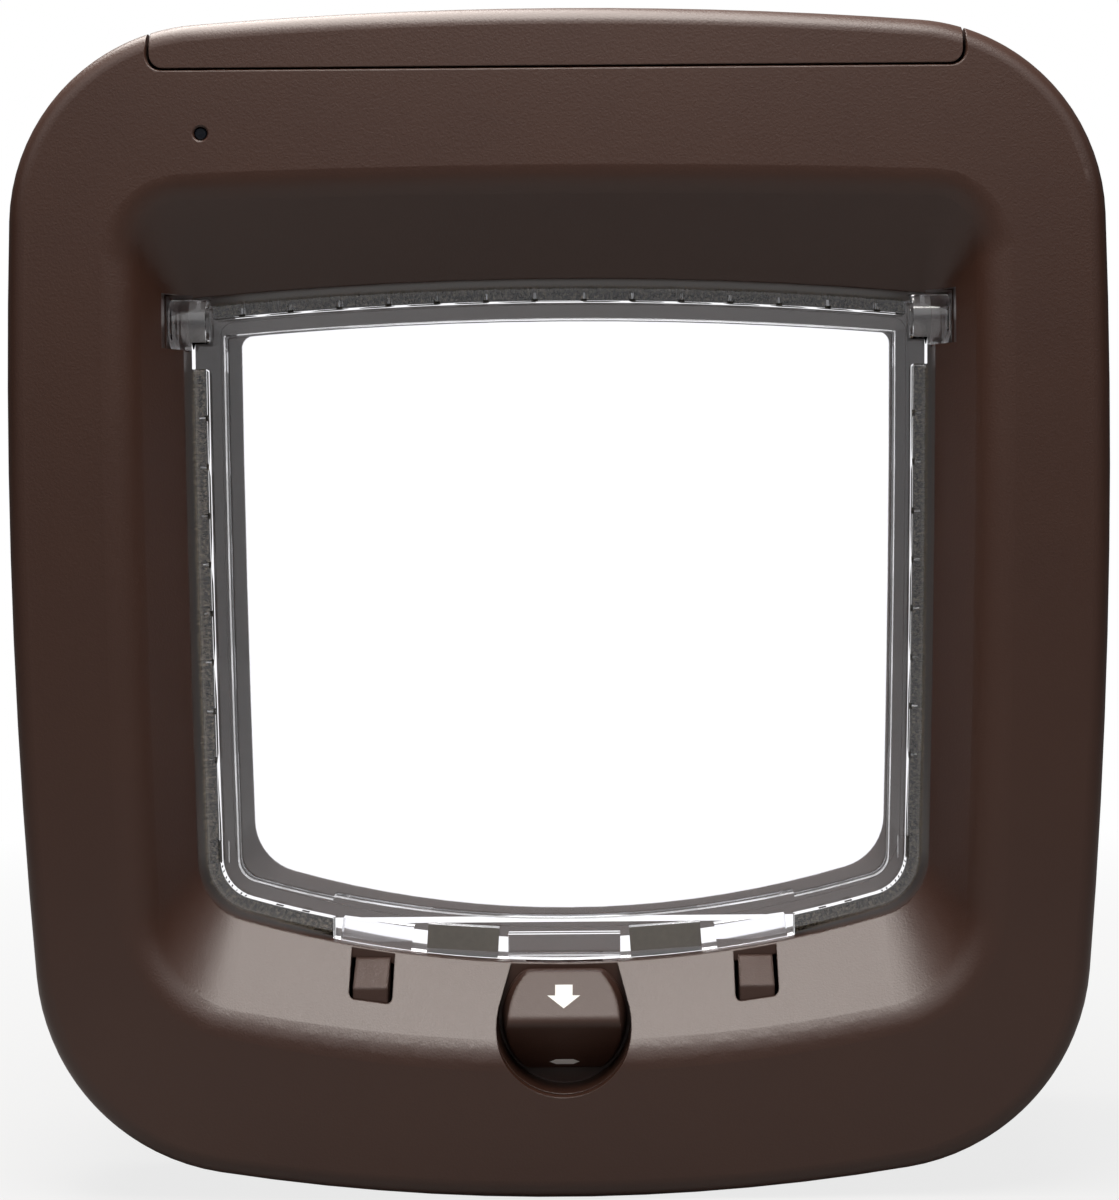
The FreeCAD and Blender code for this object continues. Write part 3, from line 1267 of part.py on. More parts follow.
NODES = {
    "front_cover": front_cover,
    "battery_cover": battery_cover,
    "back_housing": back_housing,
    "exterior_frame": exterior_frame,
    "flap_panel": flap_panel,
    "pile_seal_left": lambda: pile_strip(0),
    "pile_seal_right": lambda: pile_strip(1),
    "pile_seal_top": lambda: pile_strip(2),
    "flap_magnet_left": lambda: flap_magnet(-1),
    "flap_magnet_right": lambda: flap_magnet(1),
    "frame_magnet_left": lambda: frame_magnet(-1),
    "frame_magnet_right": lambda: frame_magnet(1),
    "lock_knob": lock_knob,
    "lock_barrel": lock_barrel,
    "knob_screw": knob_screw,
    "catch_left": lambda: catch(-1),
    "catch_right": lambda: catch(1),
    "latch_bar": latch_bar,
    "latch_pinion": latch_pinion,
    "latch_motor": latch_motor,
    "antenna_coil": antenna_coil,
    "circuit_board": circuit_board,
    "board_screws": board_screws,
    "led_lens": led_lens,
    "learn_button": learn_button,
    "battery_springs": battery_springs,
    "battery_plates": battery_plates,
    "frame_screws": frame_screws,
    "fixing_screws": fixing_screws,
    "screw_covers": screw_covers,
}
for number, place in enumerate(cell_places(), 1):
    NODES["battery_%d" % number] = lambda place=place: battery(place)

os.makedirs("parts", exist_ok=True)
for name, make in NODES.items():
    shape = make()
    solids = shape.Solids
    print(name, "solids", len(solids), "valid", shape.isValid(),
          "volume", round(sum(s.Volume for s in solids)))
    shape.exportStep("parts/%s.step" % name)
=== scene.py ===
import math
import random

import bmesh
import bpy
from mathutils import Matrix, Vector
from mathutils.bvhtree import BVHTree


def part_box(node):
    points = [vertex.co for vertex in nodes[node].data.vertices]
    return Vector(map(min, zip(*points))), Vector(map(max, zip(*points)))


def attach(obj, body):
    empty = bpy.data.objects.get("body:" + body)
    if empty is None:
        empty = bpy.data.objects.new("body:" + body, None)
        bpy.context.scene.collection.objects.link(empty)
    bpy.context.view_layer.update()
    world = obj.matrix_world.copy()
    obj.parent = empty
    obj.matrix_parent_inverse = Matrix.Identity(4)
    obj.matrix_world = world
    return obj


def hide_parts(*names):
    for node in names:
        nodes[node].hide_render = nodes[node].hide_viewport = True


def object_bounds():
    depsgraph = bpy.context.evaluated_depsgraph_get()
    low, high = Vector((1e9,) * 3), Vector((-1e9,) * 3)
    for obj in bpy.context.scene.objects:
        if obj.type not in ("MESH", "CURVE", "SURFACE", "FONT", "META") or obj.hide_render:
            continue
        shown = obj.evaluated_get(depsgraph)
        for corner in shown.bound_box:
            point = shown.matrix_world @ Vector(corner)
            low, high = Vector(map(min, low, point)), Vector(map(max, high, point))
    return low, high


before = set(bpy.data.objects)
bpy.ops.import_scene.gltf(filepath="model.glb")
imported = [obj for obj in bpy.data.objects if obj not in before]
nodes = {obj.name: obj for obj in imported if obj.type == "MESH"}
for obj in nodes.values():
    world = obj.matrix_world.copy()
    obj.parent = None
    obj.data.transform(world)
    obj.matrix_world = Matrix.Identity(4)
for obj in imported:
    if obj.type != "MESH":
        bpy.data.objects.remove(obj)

cad_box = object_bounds()

# Front cover, battery cover, back housing, exterior frame, screw caps
# Injection-moulded ABS coloured dark brown through. The tool's faces were spark
# eroded, so every outside face has a fine satin grain and no gloss spot.


def linear(code):
    """An sRGB hex colour as the linear colour that a shader takes."""
    channels = [int(code[n:n + 2], 16) / 255 for n in (1, 3, 5)]
    parts = [c / 12.92 if c <= 0.04045 else ((c + 0.055) / 1.055) ** 2.4 for c in channels]
    return (*parts, 1.0)


def node(tree, kind, settings=None, links=None):
    """Adds a node with its settings and its links to other nodes' outputs."""
    new = tree.nodes.new(kind)
    for name, value in (settings or {}).items():
        if isinstance(name, int) or name in new.inputs:
            new.inputs[name].default_value = value
        else:
            setattr(new, name, value)
    for name, source in (links or {}).items():
        output = source if isinstance(source, bpy.types.NodeSocket) else source.outputs[0]
        tree.links.new(output, new.inputs[name])
    return new


def surface(name, settings):
    """A material whose Principled shader has these settings. Returns both."""
    material = bpy.data.materials.new(name)
    material.use_nodes = True
    tree = material.node_tree
    shader = tree.nodes["Principled BSDF"]
    for key, value in settings.items():
        shader.inputs[key].default_value = value
    return material, tree, shader


def finish_nodes(material, slot, *names):
    """Gives CAD nodes this material."""
    for name in names:
        piece = nodes[name]
        piece.data.materials.clear()
        piece.data.materials.append(material)


BROWN = "#361f16"
BROWN_WARM = "#3c2419"
GRAIN_MM = 0.45
GRAIN_HEIGHT = 0.00012
MOTTLE_MM = 22.0


def moulded_abs(name, satin_from, satin_to, edge_mm):
    """Spark-eroded ABS: satin, with a grain that breaks up every highlight.

    The real grain is about 0.1 mm, drawn at 0.45 mm so that it shows. Edges
    look rounded as the mould's are.
    """
    material, tree, shader = surface(name, {"IOR": 1.53})
    place = node(tree, "ShaderNodeTexCoord").outputs["Object"]
    mottle = node(tree, "ShaderNodeTexNoise",
                  {"Scale": 1000 / MOTTLE_MM, "Detail": 3.0}, {"Vector": place})
    tone = node(tree, "ShaderNodeMix", {"data_type": "RGBA", 6: linear(BROWN),
                                        7: linear(BROWN_WARM)}, {0: mottle})
    tree.links.new(tone.outputs[2], shader.inputs["Base Color"])
    grain = node(tree, "ShaderNodeTexNoise",
                 {"Scale": 1000 / GRAIN_MM, "Detail": 2.0, "Roughness": 0.6},
                 {"Vector": place})
    satin = node(tree, "ShaderNodeMapRange", {"To Min": satin_from, "To Max": satin_to},
                 {0: grain})
    tree.links.new(satin.outputs[0], shader.inputs["Roughness"])
    edge = node(tree, "ShaderNodeBevel", {"samples": 4, "Radius": edge_mm / 1000})
    bump = node(tree, "ShaderNodeBump", {"Strength": 0.35, "Distance": GRAIN_HEIGHT},
                {"Height": grain, "Normal": edge})
    tree.links.new(bump.outputs[0], shader.inputs["Normal"])
    return material


shells = moulded_abs("moulded_abs_satin", satin_from=0.34, satin_to=0.44, edge_mm=0.3)
finish_nodes(shells, "brown_moulding", "front_cover", "battery_cover", "back_housing",
             "exterior_frame", "screw_covers")

# Lock knob, lock barrel, catches, latch bar
# The small mouldings are of the same brown ABS. Fingers hold the knob, so its
# tool has a coarser, duller grain and well-rounded edges.

handled = moulded_abs("moulded_abs_dull", satin_from=0.44, satin_to=0.56, edge_mm=0.9)
finish_nodes(handled, "brown_moulding", "lock_knob", "catch_left", "catch_right")
inner = moulded_abs("moulded_abs_inner", satin_from=0.40, satin_to=0.50, edge_mm=0.2)
finish_nodes(inner, "brown_moulding", "lock_barrel", "latch_bar")

# Flap panel
# One clear moulding of polycarbonate: a thin sheet with a thick rim, hubs and
# pins. Polished tool faces give it clear, sharp reflections, and light passes
# through it to the pile and magnets.

CLEAR = "#fcfcff"
FLOW_MM = 9.0
PASSED_LIGHT = 0.85
clear, tree, shader = surface("moulded_polycarbonate_clear", {
    "Base Color": linear(CLEAR), "Roughness": 0.03, "IOR": 1.58, "Transmission Weight": 1.0})
place = node(tree, "ShaderNodeTexCoord").outputs["Object"]
flow = node(tree, "ShaderNodeTexNoise", {"Scale": 1000 / FLOW_MM, "Detail": 1.0},
            {"Vector": place})
ripple = node(tree, "ShaderNodeBump", {"Strength": 0.1, "Distance": 0.00004}, {"Height": flow})
tree.links.new(ripple.outputs[0], shader.inputs["Normal"])
ray = node(tree, "ShaderNodeLightPath")
light = node(tree, "ShaderNodeMath", {"operation": "MAXIMUM"},
             {0: ray.outputs["Is Shadow Ray"], 1: ray.outputs["Is Diffuse Ray"]})
lets_through = node(tree, "ShaderNodeMath", {"operation": "MULTIPLY", 1: PASSED_LIGHT},
                    {0: light})
passed = node(tree, "ShaderNodeMixShader", None,
              {0: lets_through, 1: shader, 2: node(tree, "ShaderNodeBsdfTransparent")})
tree.links.new(passed.outputs[0], tree.nodes["Material Output"].inputs["Surface"])
finish_nodes(clear, "clear_moulding", "flap_panel")

# Pile seals
# Grey-brown nylon pile on a thin woven backing that the flap's rim grips. The
# fibres stand outwards to the tunnel's wall, close enough to keep draughts out.
# Real ones are about 0.1 mm thick, drawn at 0.18 mm so that they show.

PILE_DARK = "#1d1a16"
PILE_BROWN = "#857a6a"
PILE_TIP = "#c9bfac"
FIBRE_RADIUS = 0.00009
FIBRES_PER_SQ_MM = 20
FIBRE_SPREAD = 0.13
FIBRE_SHORTEST = 0.8
FACES_FLAP, MOST_SLANT = 0.5, 0.3
TUFT_MM = 0.7
BACKING = 0.0005
pile, tree, shader = surface("nylon_pile", {"Roughness": 0.8, "Specular IOR Level": 0.25})
place = node(tree, "ShaderNodeTexCoord").outputs["Object"]
tuft = node(tree, "ShaderNodeTexNoise", {"Scale": 1000 / TUFT_MM, "Detail": 3.0},
            {"Vector": place})
clumps = node(tree, "ShaderNodeMapRange", {"From Min": 0.45, "From Max": 0.62}, {0: tuft})
body = node(tree, "ShaderNodeMix", {"data_type": "RGBA", 6: linear(PILE_DARK),
                                    7: linear(PILE_BROWN)}, {0: clumps})
tip = node(tree, "ShaderNodeAttribute", {"attribute_name": "along_fibre"})
# Fibres are paler towards their tips.
paler_to_tips = node(tree, "ShaderNodeMapRange", {"From Min": 0.55, "From Max": 1.3},
            {0: tip.outputs["Fac"]})
tone = node(tree, "ShaderNodeMix", {"data_type": "RGBA", 7: linear(PILE_TIP)},
            {0: paler_to_tips, 6: body.outputs[2]})
tree.links.new(tone.outputs[2], shader.inputs["Base Color"])

WOVEN = "#3a352e"
THREAD_MM = 0.5
woven, tree, shader = surface("woven_backing", {"Roughness": 0.9})
place = node(tree, "ShaderNodeTexCoord").outputs["Object"]
threads = node(tree, "ShaderNodeTexChecker", {"Scale": 1000 / THREAD_MM, "Color1": linear(WOVEN),
                                              "Color2": linear(PILE_DARK)}, {"Vector": place})
tree.links.new(threads.outputs["Color"], shader.inputs["Base Color"])


def link_piece(name, mesh, material, rides_on):
    """Puts a mesh in the scene as a piece that rides on a body."""
    mesh.materials.append(material)
    piece = bpy.data.objects.new(name, mesh)
    bpy.context.scene.collection.objects.link(piece)
    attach(piece, rides_on)
    return piece


def solid_tree(name):
    """A CAD node's faces, ready for rays."""
    solid = nodes[name].data
    return BVHTree.FromPolygons([v.co for v in solid.vertices],
                                [tuple(face.vertices) for face in solid.polygons])


def pile_strip(name, chance):
    """The fibres and the woven backing of one strip, grown on its CAD solid."""
    solid = nodes[name].data
    tree = solid_tree(name)
    low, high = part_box("flap_panel")
    middle = (low + high) / 2
    points, faces, along = [], [], []
    backing = bmesh.new()
    solid.calc_loop_triangles()
    for triangle in solid.loop_triangles:
        inward = triangle.normal
        corners = [solid.vertices[n].co for n in triangle.vertices]
        to_middle = middle - corners[0]
        to_middle.y = 0
        if inward.dot(to_middle.normalized()) < FACES_FLAP or abs(inward.y) > MOST_SLANT:
            continue
        backing.faces.new([backing.verts.new(corner) for corner in corners])
        side = inward.cross(Vector((0, 1, 0))).normalized()
        share = triangle.area * 1e6 * FIBRES_PER_SQ_MM
        for _ in range(int(share + chance.random())):
            a, b = chance.random(), chance.random()
            if a + b > 1:
                a, b = 1 - a, 1 - b
            root = corners[0] + (corners[1] - corners[0]) * a + (corners[2] - corners[0]) * b
            way = -inward + side * chance.gauss(0, FIBRE_SPREAD)
            way.y += chance.gauss(0, FIBRE_SPREAD / 2)
            way.normalize()
            reach = tree.ray_cast(root + way * FIBRE_RADIUS, way)[3]
            if reach is None:
                continue
            end = root + way * reach * chance.uniform(FIBRE_SHORTEST, 1.0)
            first = len(points)
            for turn in range(3):
                angle = math.tau * turn / 3 + a
                points.append(root + side * math.cos(angle) * FIBRE_RADIUS
                              + Vector((0, math.sin(angle) * FIBRE_RADIUS, 0)))
            points.append(end)
            along += [0.0, 0.0, 0.0, 1.0]
            faces += [(first, first + 1, first + 3), (first + 1, first + 2, first + 3),
                      (first + 2, first, first + 3)]
    fibres = bpy.data.meshes.new(name + "_fibres")
    fibres.from_pydata(points, [], faces)
    fibres.attributes.new("along_fibre", "FLOAT", "POINT").data.foreach_set("value", along)
    tufts = link_piece(name + "_fibres", fibres, pile, "flap")
    bmesh.ops.remove_doubles(backing, verts=backing.verts, dist=1e-6)
    bmesh.ops.solidify(backing, geom=backing.faces[:], thickness=BACKING)
    cloth = bpy.data.meshes.new(name + "_backing")
    backing.to_mesh(cloth)
    backing.free()
    strip = link_piece(name + "_backing", cloth, woven, "flap")
    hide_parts(name)
    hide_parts(name)


chance = random.Random(7)
for side in ("left", "right", "top"):
    pile_strip("pile_seal_" + side, chance)

# Grip teeth
# The clear rim's small teeth hold the pile's backing. Each has a low ridge and
# tapers to its end. The teeth are clear, and the white ticks they make on the dark
# pile are a painted highlight: they are drawn as opaque near-white plastic whose
# roughness varies in fine spots, coarser than real, so that it shows.

TOOTH_PITCH = 0.0103
TOOTH_LONG, TOOTH_TAPER = 0.0018, 0.6
TOOTH_HALF = 0.00032
TOP_TOOTH_HALF = 0.00045
TOOTH_RIDGE = 0.0004
SIDE_TOOTH_FIRST = 0.0432
SIDE_TEETH, TOP_TEETH = 8, 14
IN_FRONT, BACKWARDS = -0.06, Vector((0, 1, 0))
BELOW_STRIP = 0.0015
# Painted highlight: the clear teeth get an opaque near-white colour for the light they catch.
TOOTH_HIGHLIGHT_WHITE = "#fafbff"
ROUGH_SPOT_MM = 0.3
tooth_highlight, tree, shader = surface("clear_teeth_painted_white", {
    "Base Color": linear(TOOTH_HIGHLIGHT_WHITE), "IOR": 1.58})
place = node(tree, "ShaderNodeTexCoord").outputs["Object"]
rough_spots = node(tree, "ShaderNodeTexNoise", {"Scale": 1000 / ROUGH_SPOT_MM, "Detail": 2.0},
            {"Vector": place})
haze = node(tree, "ShaderNodeMapRange", {"To Min": 0.35, "To Max": 0.6}, {0: rough_spots})
tree.links.new(haze.outputs[0], shader.inputs["Roughness"])


def tooth(mesh, root, out, half):
    """One tooth: a ridge from its root outwards, tapered to its end."""
    across = Vector((out.z, 0, -out.x))
    front = Vector((root.x, flap_face, root.z))
    end = front + out * TOOTH_LONG
    lift = Vector((0, -TOOTH_RIDGE, 0))
    foot = [mesh.verts.new(corner) for corner in (
        front + across * half, end + across * half * TOOTH_TAPER,
        end - across * half * TOOTH_TAPER, front - across * half)]
    ridge = [mesh.verts.new(front + lift), mesh.verts.new(end + lift * TOOTH_TAPER)]
    mesh.faces.new((foot[0], foot[1], ridge[1], ridge[0]))
    mesh.faces.new((foot[2], foot[3], ridge[0], ridge[1]))
    mesh.faces.new((foot[1], foot[2], ridge[1]))
    mesh.faces.new((foot[3], foot[0], ridge[0]))
    mesh.faces.new(foot)


low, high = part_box("pile_seal_top")
pile_y = (low.y + high.y) / 2
rim_point = Vector((0, IN_FRONT, low.z - BELOW_STRIP))
flap_face = solid_tree("flap_panel").ray_cast(rim_point, BACKWARDS)[0].y
ticks = bmesh.new()
for name, out in (("pile_seal_left", Vector((-1, 0, 0))), ("pile_seal_right", Vector((1, 0, 0)))):
    strip = solid_tree(name)
    for n in range(SIDE_TEETH):
        start = Vector((0, pile_y, SIDE_TOOTH_FIRST - n * TOOTH_PITCH))
        root = strip.ray_cast(start, out)[0]
        if root:
            tooth(ticks, root, out, TOOTH_HALF)
strip = solid_tree("pile_seal_top")
for n in range(TOP_TEETH):
    start = Vector(((n - (TOP_TEETH - 1) / 2) * TOOTH_PITCH, pile_y, 0))
    root = strip.ray_cast(start, Vector((0, 0, 1)))[0]
    if root:
        tooth(ticks, root, Vector((0, 0, 1)), TOP_TOOTH_HALF)
bmesh.ops.recalc_face_normals(ticks, faces=ticks.faces)
tick_mesh = bpy.data.meshes.new("grip_teeth")
ticks.to_mesh(tick_mesh)
ticks.free()
link_piece("grip_teeth", tick_mesh, tooth_highlight, "flap")

# Magnets
# Sintered ferrite blocks, grey-black and matt with fine pores. The flap's pair
# is pressed into open pockets in its rail, the other pair sits under the floor.

FERRITE = "#66625b"
FERRITE_LIGHT = "#7a756c"
PORE_MM = 1.2
GRIND_MM, GRIND_STRETCH = 1.6, 12
ferrite, tree, shader = surface("sintered_ferrite", {"Roughness": 0.55})
place = node(tree, "ShaderNodeTexCoord").outputs["Object"]
pores = node(tree, "ShaderNodeTexNoise", {"Scale": 1000 / PORE_MM, "Detail": 6.0},
             {"Vector": place})
tone = node(tree, "ShaderNodeMix", {"data_type": "RGBA", 6: linear(FERRITE),
                                    7: linear(FERRITE_LIGHT)}, {0: pores})
tree.links.new(tone.outputs[2], shader.inputs["Base Color"])
slant = node(tree, "ShaderNodeMapping", {"Rotation": (0, 0.6, 0),
                                         "Scale": (1, 1, GRIND_STRETCH)}, {0: place})
ground = node(tree, "ShaderNodeTexNoise", {
    "Scale": 1000 / GRIND_MM / GRIND_STRETCH, "Detail": 2.0}, {"Vector": slant})
scored = node(tree, "ShaderNodeBump", {"Strength": 0.5, "Distance": 0.00005}, {"Height": ground})
pit = node(tree, "ShaderNodeBump", {"Strength": 0.4, "Distance": 0.0001},
           {"Height": pores, "Normal": scored})
tree.links.new(pit.outputs[0], shader.inputs["Normal"])
finish_nodes(ferrite, "ferrite", "flap_magnet_left", "flap_magnet_right",
             "frame_magnet_left", "frame_magnet_right")

# Arrows on the knob
# White ink put on by a pad after moulding: one arrow on the upper slope says
# which way the knob points, and a low double one lies at the foot of the grip.

INK = "#f2f1ee"
INK_HEIGHT = 0.00005
DAB_MM = 0.4
SHAFT_HALF, HEAD_HALF = 0.0018, 0.0034
ARROW_START, ARROW_NECK, ARROW_TIP = -0.0753, -0.0772, -0.0795
FOOT_Z, FOOT_HALF, FOOT_RISE = -0.0916, 0.0031, 0.0006
white_ink, tree, shader = surface("pad_printed_ink", {"Base Color": linear(INK),
                                                      "Roughness": 0.5})
place = node(tree, "ShaderNodeTexCoord").outputs["Object"]
pad = node(tree, "ShaderNodeTexNoise", {"Scale": 1000 / DAB_MM, "Detail": 2.0},
           {"Vector": place})
dabbed = node(tree, "ShaderNodeBump", {"Strength": 0.2, "Distance": 0.00002}, {"Height": pad})
tree.links.new(dabbed.outputs[0], shader.inputs["Normal"])


def printed(name, outline):
    """Ink laid on the knob, from its outline as seen from the front."""
    knob = solid_tree("lock_knob")
    ink = bmesh.new()
    corners = []
    for x, z in outline:
        point, normal = knob.ray_cast(Vector((x, IN_FRONT, z)), BACKWARDS)[:2]
        corners.append(ink.verts.new(point + normal * INK_HEIGHT))
    bmesh.ops.triangulate(ink, faces=[ink.faces.new(corners)])
    mesh = bpy.data.meshes.new(name)
    ink.to_mesh(mesh)
    ink.free()
    link_piece(name, mesh, white_ink, "lock")


printed("knob_arrow", [(-SHAFT_HALF, ARROW_START), (-SHAFT_HALF, ARROW_NECK),
                       (-HEAD_HALF, ARROW_NECK), (0, ARROW_TIP), (HEAD_HALF, ARROW_NECK),
                       (SHAFT_HALF, ARROW_NECK), (SHAFT_HALF, ARROW_START)])
printed("knob_foot_mark", [(-FOOT_HALF, FOOT_Z), (-SHAFT_HALF, FOOT_Z + FOOT_RISE),
                           (SHAFT_HALF, FOOT_Z + FOOT_RISE), (FOOT_HALF, FOOT_Z),
                           (SHAFT_HALF, FOOT_Z - FOOT_RISE), (-SHAFT_HALF, FOOT_Z - FOOT_RISE)])

# Signal lamp
# A light pipe of smoked acrylic, polished at its end and set flush in the
# front face, so that it looks black until the lamp behind it lights.

SMOKE = "#0b0f16"
POLISH_MM = 0.6
smoked, tree, shader = surface("smoked_acrylic", {
    "Base Color": linear(SMOKE), "Roughness": 0.18, "IOR": 1.49})
place = node(tree, "ShaderNodeTexCoord").outputs["Object"]
haze = node(tree, "ShaderNodeTexNoise", {"Scale": 1000 / POLISH_MM}, {"Vector": place})
gloss = node(tree, "ShaderNodeMapRange", {"To Min": 0.12, "To Max": 0.3}, {0: haze})
tree.links.new(gloss.outputs[0], shader.inputs["Roughness"])
finish_nodes(smoked, "dark_lens", "led_lens")

# Screws
# Steel screws, zinc-plated in a barrel, so they are bright with a faint grey
# cloud from the bath. They hold knob, board, both shells and the door.

ZINC = "#b9bcc0"
ZINC_DULL = "#9a9da2"
CLOUD_MM = 2.0
zinc, tree, shader = surface("zinc_plated_steel", {"Metallic": 1.0, "Roughness": 0.32})
place = node(tree, "ShaderNodeTexCoord").outputs["Object"]
cloud = node(tree, "ShaderNodeTexNoise", {"Scale": 1000 / CLOUD_MM, "Detail": 4.0},
             {"Vector": place})
tone = node(tree, "ShaderNodeMix", {"data_type": "RGBA", 6: linear(ZINC),
                                    7: linear(ZINC_DULL)}, {0: cloud})
tree.links.new(tone.outputs[2], shader.inputs["Base Color"])
finish_nodes(zinc, "screw_steel", "knob_screw", "board_screws", "frame_screws",
             "fixing_screws")

# Pinion and learn button
# Moulded acetal, slippery enough to run dry on its shaft and in its guide. It
# is milky white with a soft low sheen.

ACETAL = "#dedcd4"
SKIN_MM = 0.7
acetal, tree, shader = surface("moulded_acetal", {"Base Color": linear(ACETAL),
                                                  "Roughness": 0.38, "IOR": 1.48})
place = node(tree, "ShaderNodeTexCoord").outputs["Object"]
skin = node(tree, "ShaderNodeTexNoise", {"Scale": 1000 / SKIN_MM, "Detail": 2.0},
            {"Vector": place})
waxy = node(tree, "ShaderNodeBump", {"Strength": 0.15, "Distance": 0.0001}, {"Height": skin})
tree.links.new(waxy.outputs[0], shader.inputs["Normal"])
finish_nodes(acetal, "white_gear", "latch_pinion", "learn_button")

# Latch motor
# A steel can, deep-drawn and plated, with the windings inside. Fine lines from
# the drawing run along it and stretch its highlights.

CAN = "#a9a9a7"
DRAW_MM, DRAW_LONG_MM = 0.3, 25.0
can, tree, shader = surface("drawn_steel_can", {"Base Color": linear(CAN), "Metallic": 1.0,
                                                "Roughness": 0.3})
place = node(tree, "ShaderNodeTexCoord").outputs["Object"]
stretch = node(tree, "ShaderNodeMapping", {
    "Scale": (1000 / DRAW_LONG_MM, 1000 / DRAW_MM, 1000 / DRAW_MM)}, {0: place})
lines = node(tree, "ShaderNodeTexNoise", {"Scale": 1.0, "Detail": 2.0}, {"Vector": stretch})
drawn = node(tree, "ShaderNodeMapRange", {"To Min": 0.22, "To Max": 0.42}, {0: lines})
tree.links.new(drawn.outputs[0], shader.inputs["Roughness"])
finish_nodes(can, "motor_can", "latch_motor")

# Antenna coil
# Enamelled copper wire wound round the tunnel, turn beside turn, so it shows
# fine lines along the winding and an orange-brown lustre. The wire of about
# 0.3 mm is drawn at 0.5 mm.

COPPER = "#b4673a"
WIRE_MM = 0.5
BAND_PITCH = math.tau / 20  # of a wave texture at scale 1
copper, tree, shader = surface("enamelled_copper", {"Base Color": linear(COPPER),
                                                    "Metallic": 1.0, "Roughness": 0.28})
place = node(tree, "ShaderNodeTexCoord").outputs["Object"]
turns = node(tree, "ShaderNodeTexWave", {"Scale": BAND_PITCH * 1000 / WIRE_MM,
                                         "bands_direction": "Y"}, {"Vector": place})
round_wire = node(tree, "ShaderNodeBump", {"Strength": 0.8, "Distance": 0.0002},
                  {"Height": turns})
tree.links.new(round_wire.outputs[0], shader.inputs["Normal"])
finish_nodes(copper, "copper_winding", "antenna_coil")

# Circuit board
# Glass fibre laminate under green solder mask, slightly glossy. Copper tracks
# under the mask show as paler green lines.

MASK = "#134a2c"
MASK_TRACE = "#1d6a3f"
TRACE_MM = 6.25
laminate, tree, shader = surface("solder_mask_laminate", {"Roughness": 0.35})
place = node(tree, "ShaderNodeTexCoord").outputs["Object"]
traces = node(tree, "ShaderNodeTexBrick", {"Scale": 1000 / TRACE_MM, "Color1": linear(MASK),
                                           "Color2": linear(MASK), "Mortar": linear(MASK_TRACE),
                                           "Mortar Size": 0.03})
turn = node(tree, "ShaderNodeMapping", {"Rotation": (math.pi / 2, 0, 0)}, {0: place})
tree.links.new(turn.outputs[0], traces.inputs["Vector"])
tree.links.new(traces.outputs[0], shader.inputs["Base Color"])
finish_nodes(laminate, "circuit_laminate", "circuit_board")

# Battery contacts
# Leaves and pressed plates of spring steel, nickel-plated so that they neither
# rust nor lose contact. The plating keeps the sheet's rolled, cloudy gloss.

NICKEL = "#c7c4bb"
ROLLED_MM = 1.5
nickel, tree, shader = surface("nickel_plated_spring_steel", {
    "Base Color": linear(NICKEL), "Metallic": 1.0, "Roughness": 0.25})
place = node(tree, "ShaderNodeTexCoord").outputs["Object"]
rolled = node(tree, "ShaderNodeTexNoise", {"Scale": 1000 / ROLLED_MM, "Detail": 3.0},
              {"Vector": place})
dull = node(tree, "ShaderNodeMapRange", {"To Min": 0.2, "To Max": 0.38}, {0: rolled})
tree.links.new(dull.outputs[0], shader.inputs["Roughness"])
finish_nodes(nickel, "contact_metal", "battery_springs", "battery_plates")

# Batteries
# Steel cells in a printed film jacket: dark grey, with one paler band at the
# positive end.

JACKET = "#2c2f34"
JACKET_BAND = "#a08a4e"
BAND_FROM_MIDDLE = 0.024
jacket, tree, shader = surface("printed_film_jacket", {"Roughness": 0.3, "Metallic": 0.3})
place = node(tree, "ShaderNodeTexCoord").outputs["Object"]
along = node(tree, "ShaderNodeSeparateXYZ", None, {0: place})
spread = node(tree, "ShaderNodeMath", {"operation": "ABSOLUTE"}, {0: along.outputs["X"]})
band = node(tree, "ShaderNodeMath", {"operation": "LESS_THAN", 1: BAND_FROM_MIDDLE},
            {0: spread})
tone = node(tree, "ShaderNodeMix", {"data_type": "RGBA", 6: linear(JACKET),
                                    7: linear(JACKET_BAND)}, {0: band})
tree.links.new(tone.outputs[2], shader.inputs["Base Color"])
finish_nodes(jacket, "cell_jacket", "battery_1", "battery_2", "battery_3", "battery_4")

# Floor
# A plain pale board. It shows white to the camera and through the clear flap,
# and keeps the object's soft shadow close to it.

FLOOR = "#989898"
FLOOR_SIZE = 6.0
SHADOW_NEAR, SHADOW_FAR = 0.1, 0.7
SHADOW_SHARE = 0.8
THROUGH_CLEAR = 1.12
low_corner = cad_box[0]
board = bmesh.new()
bmesh.ops.create_grid(board, x_segments=1, y_segments=1, size=FLOOR_SIZE / 2)
floor_mesh = bpy.data.meshes.new("floor")
board.to_mesh(floor_mesh)
board.free()
floor = bpy.data.objects.new("floor", floor_mesh)
floor.location = (0, 0, low_corner[2])
bpy.context.scene.collection.objects.link(floor)


def shown_level(tree):
    """White to the camera, and a little more through the clear flap's two faces."""
    ray = node(tree, "ShaderNodeLightPath")
    through = node(tree, "ShaderNodeMath", {"operation": "MULTIPLY", 1: THROUGH_CLEAR},
                   {0: ray.outputs["Is Transmission Ray"]})
    return node(tree, "ShaderNodeMath", {"operation": "MAXIMUM"},
                {0: through, 1: ray.outputs["Is Camera Ray"]})


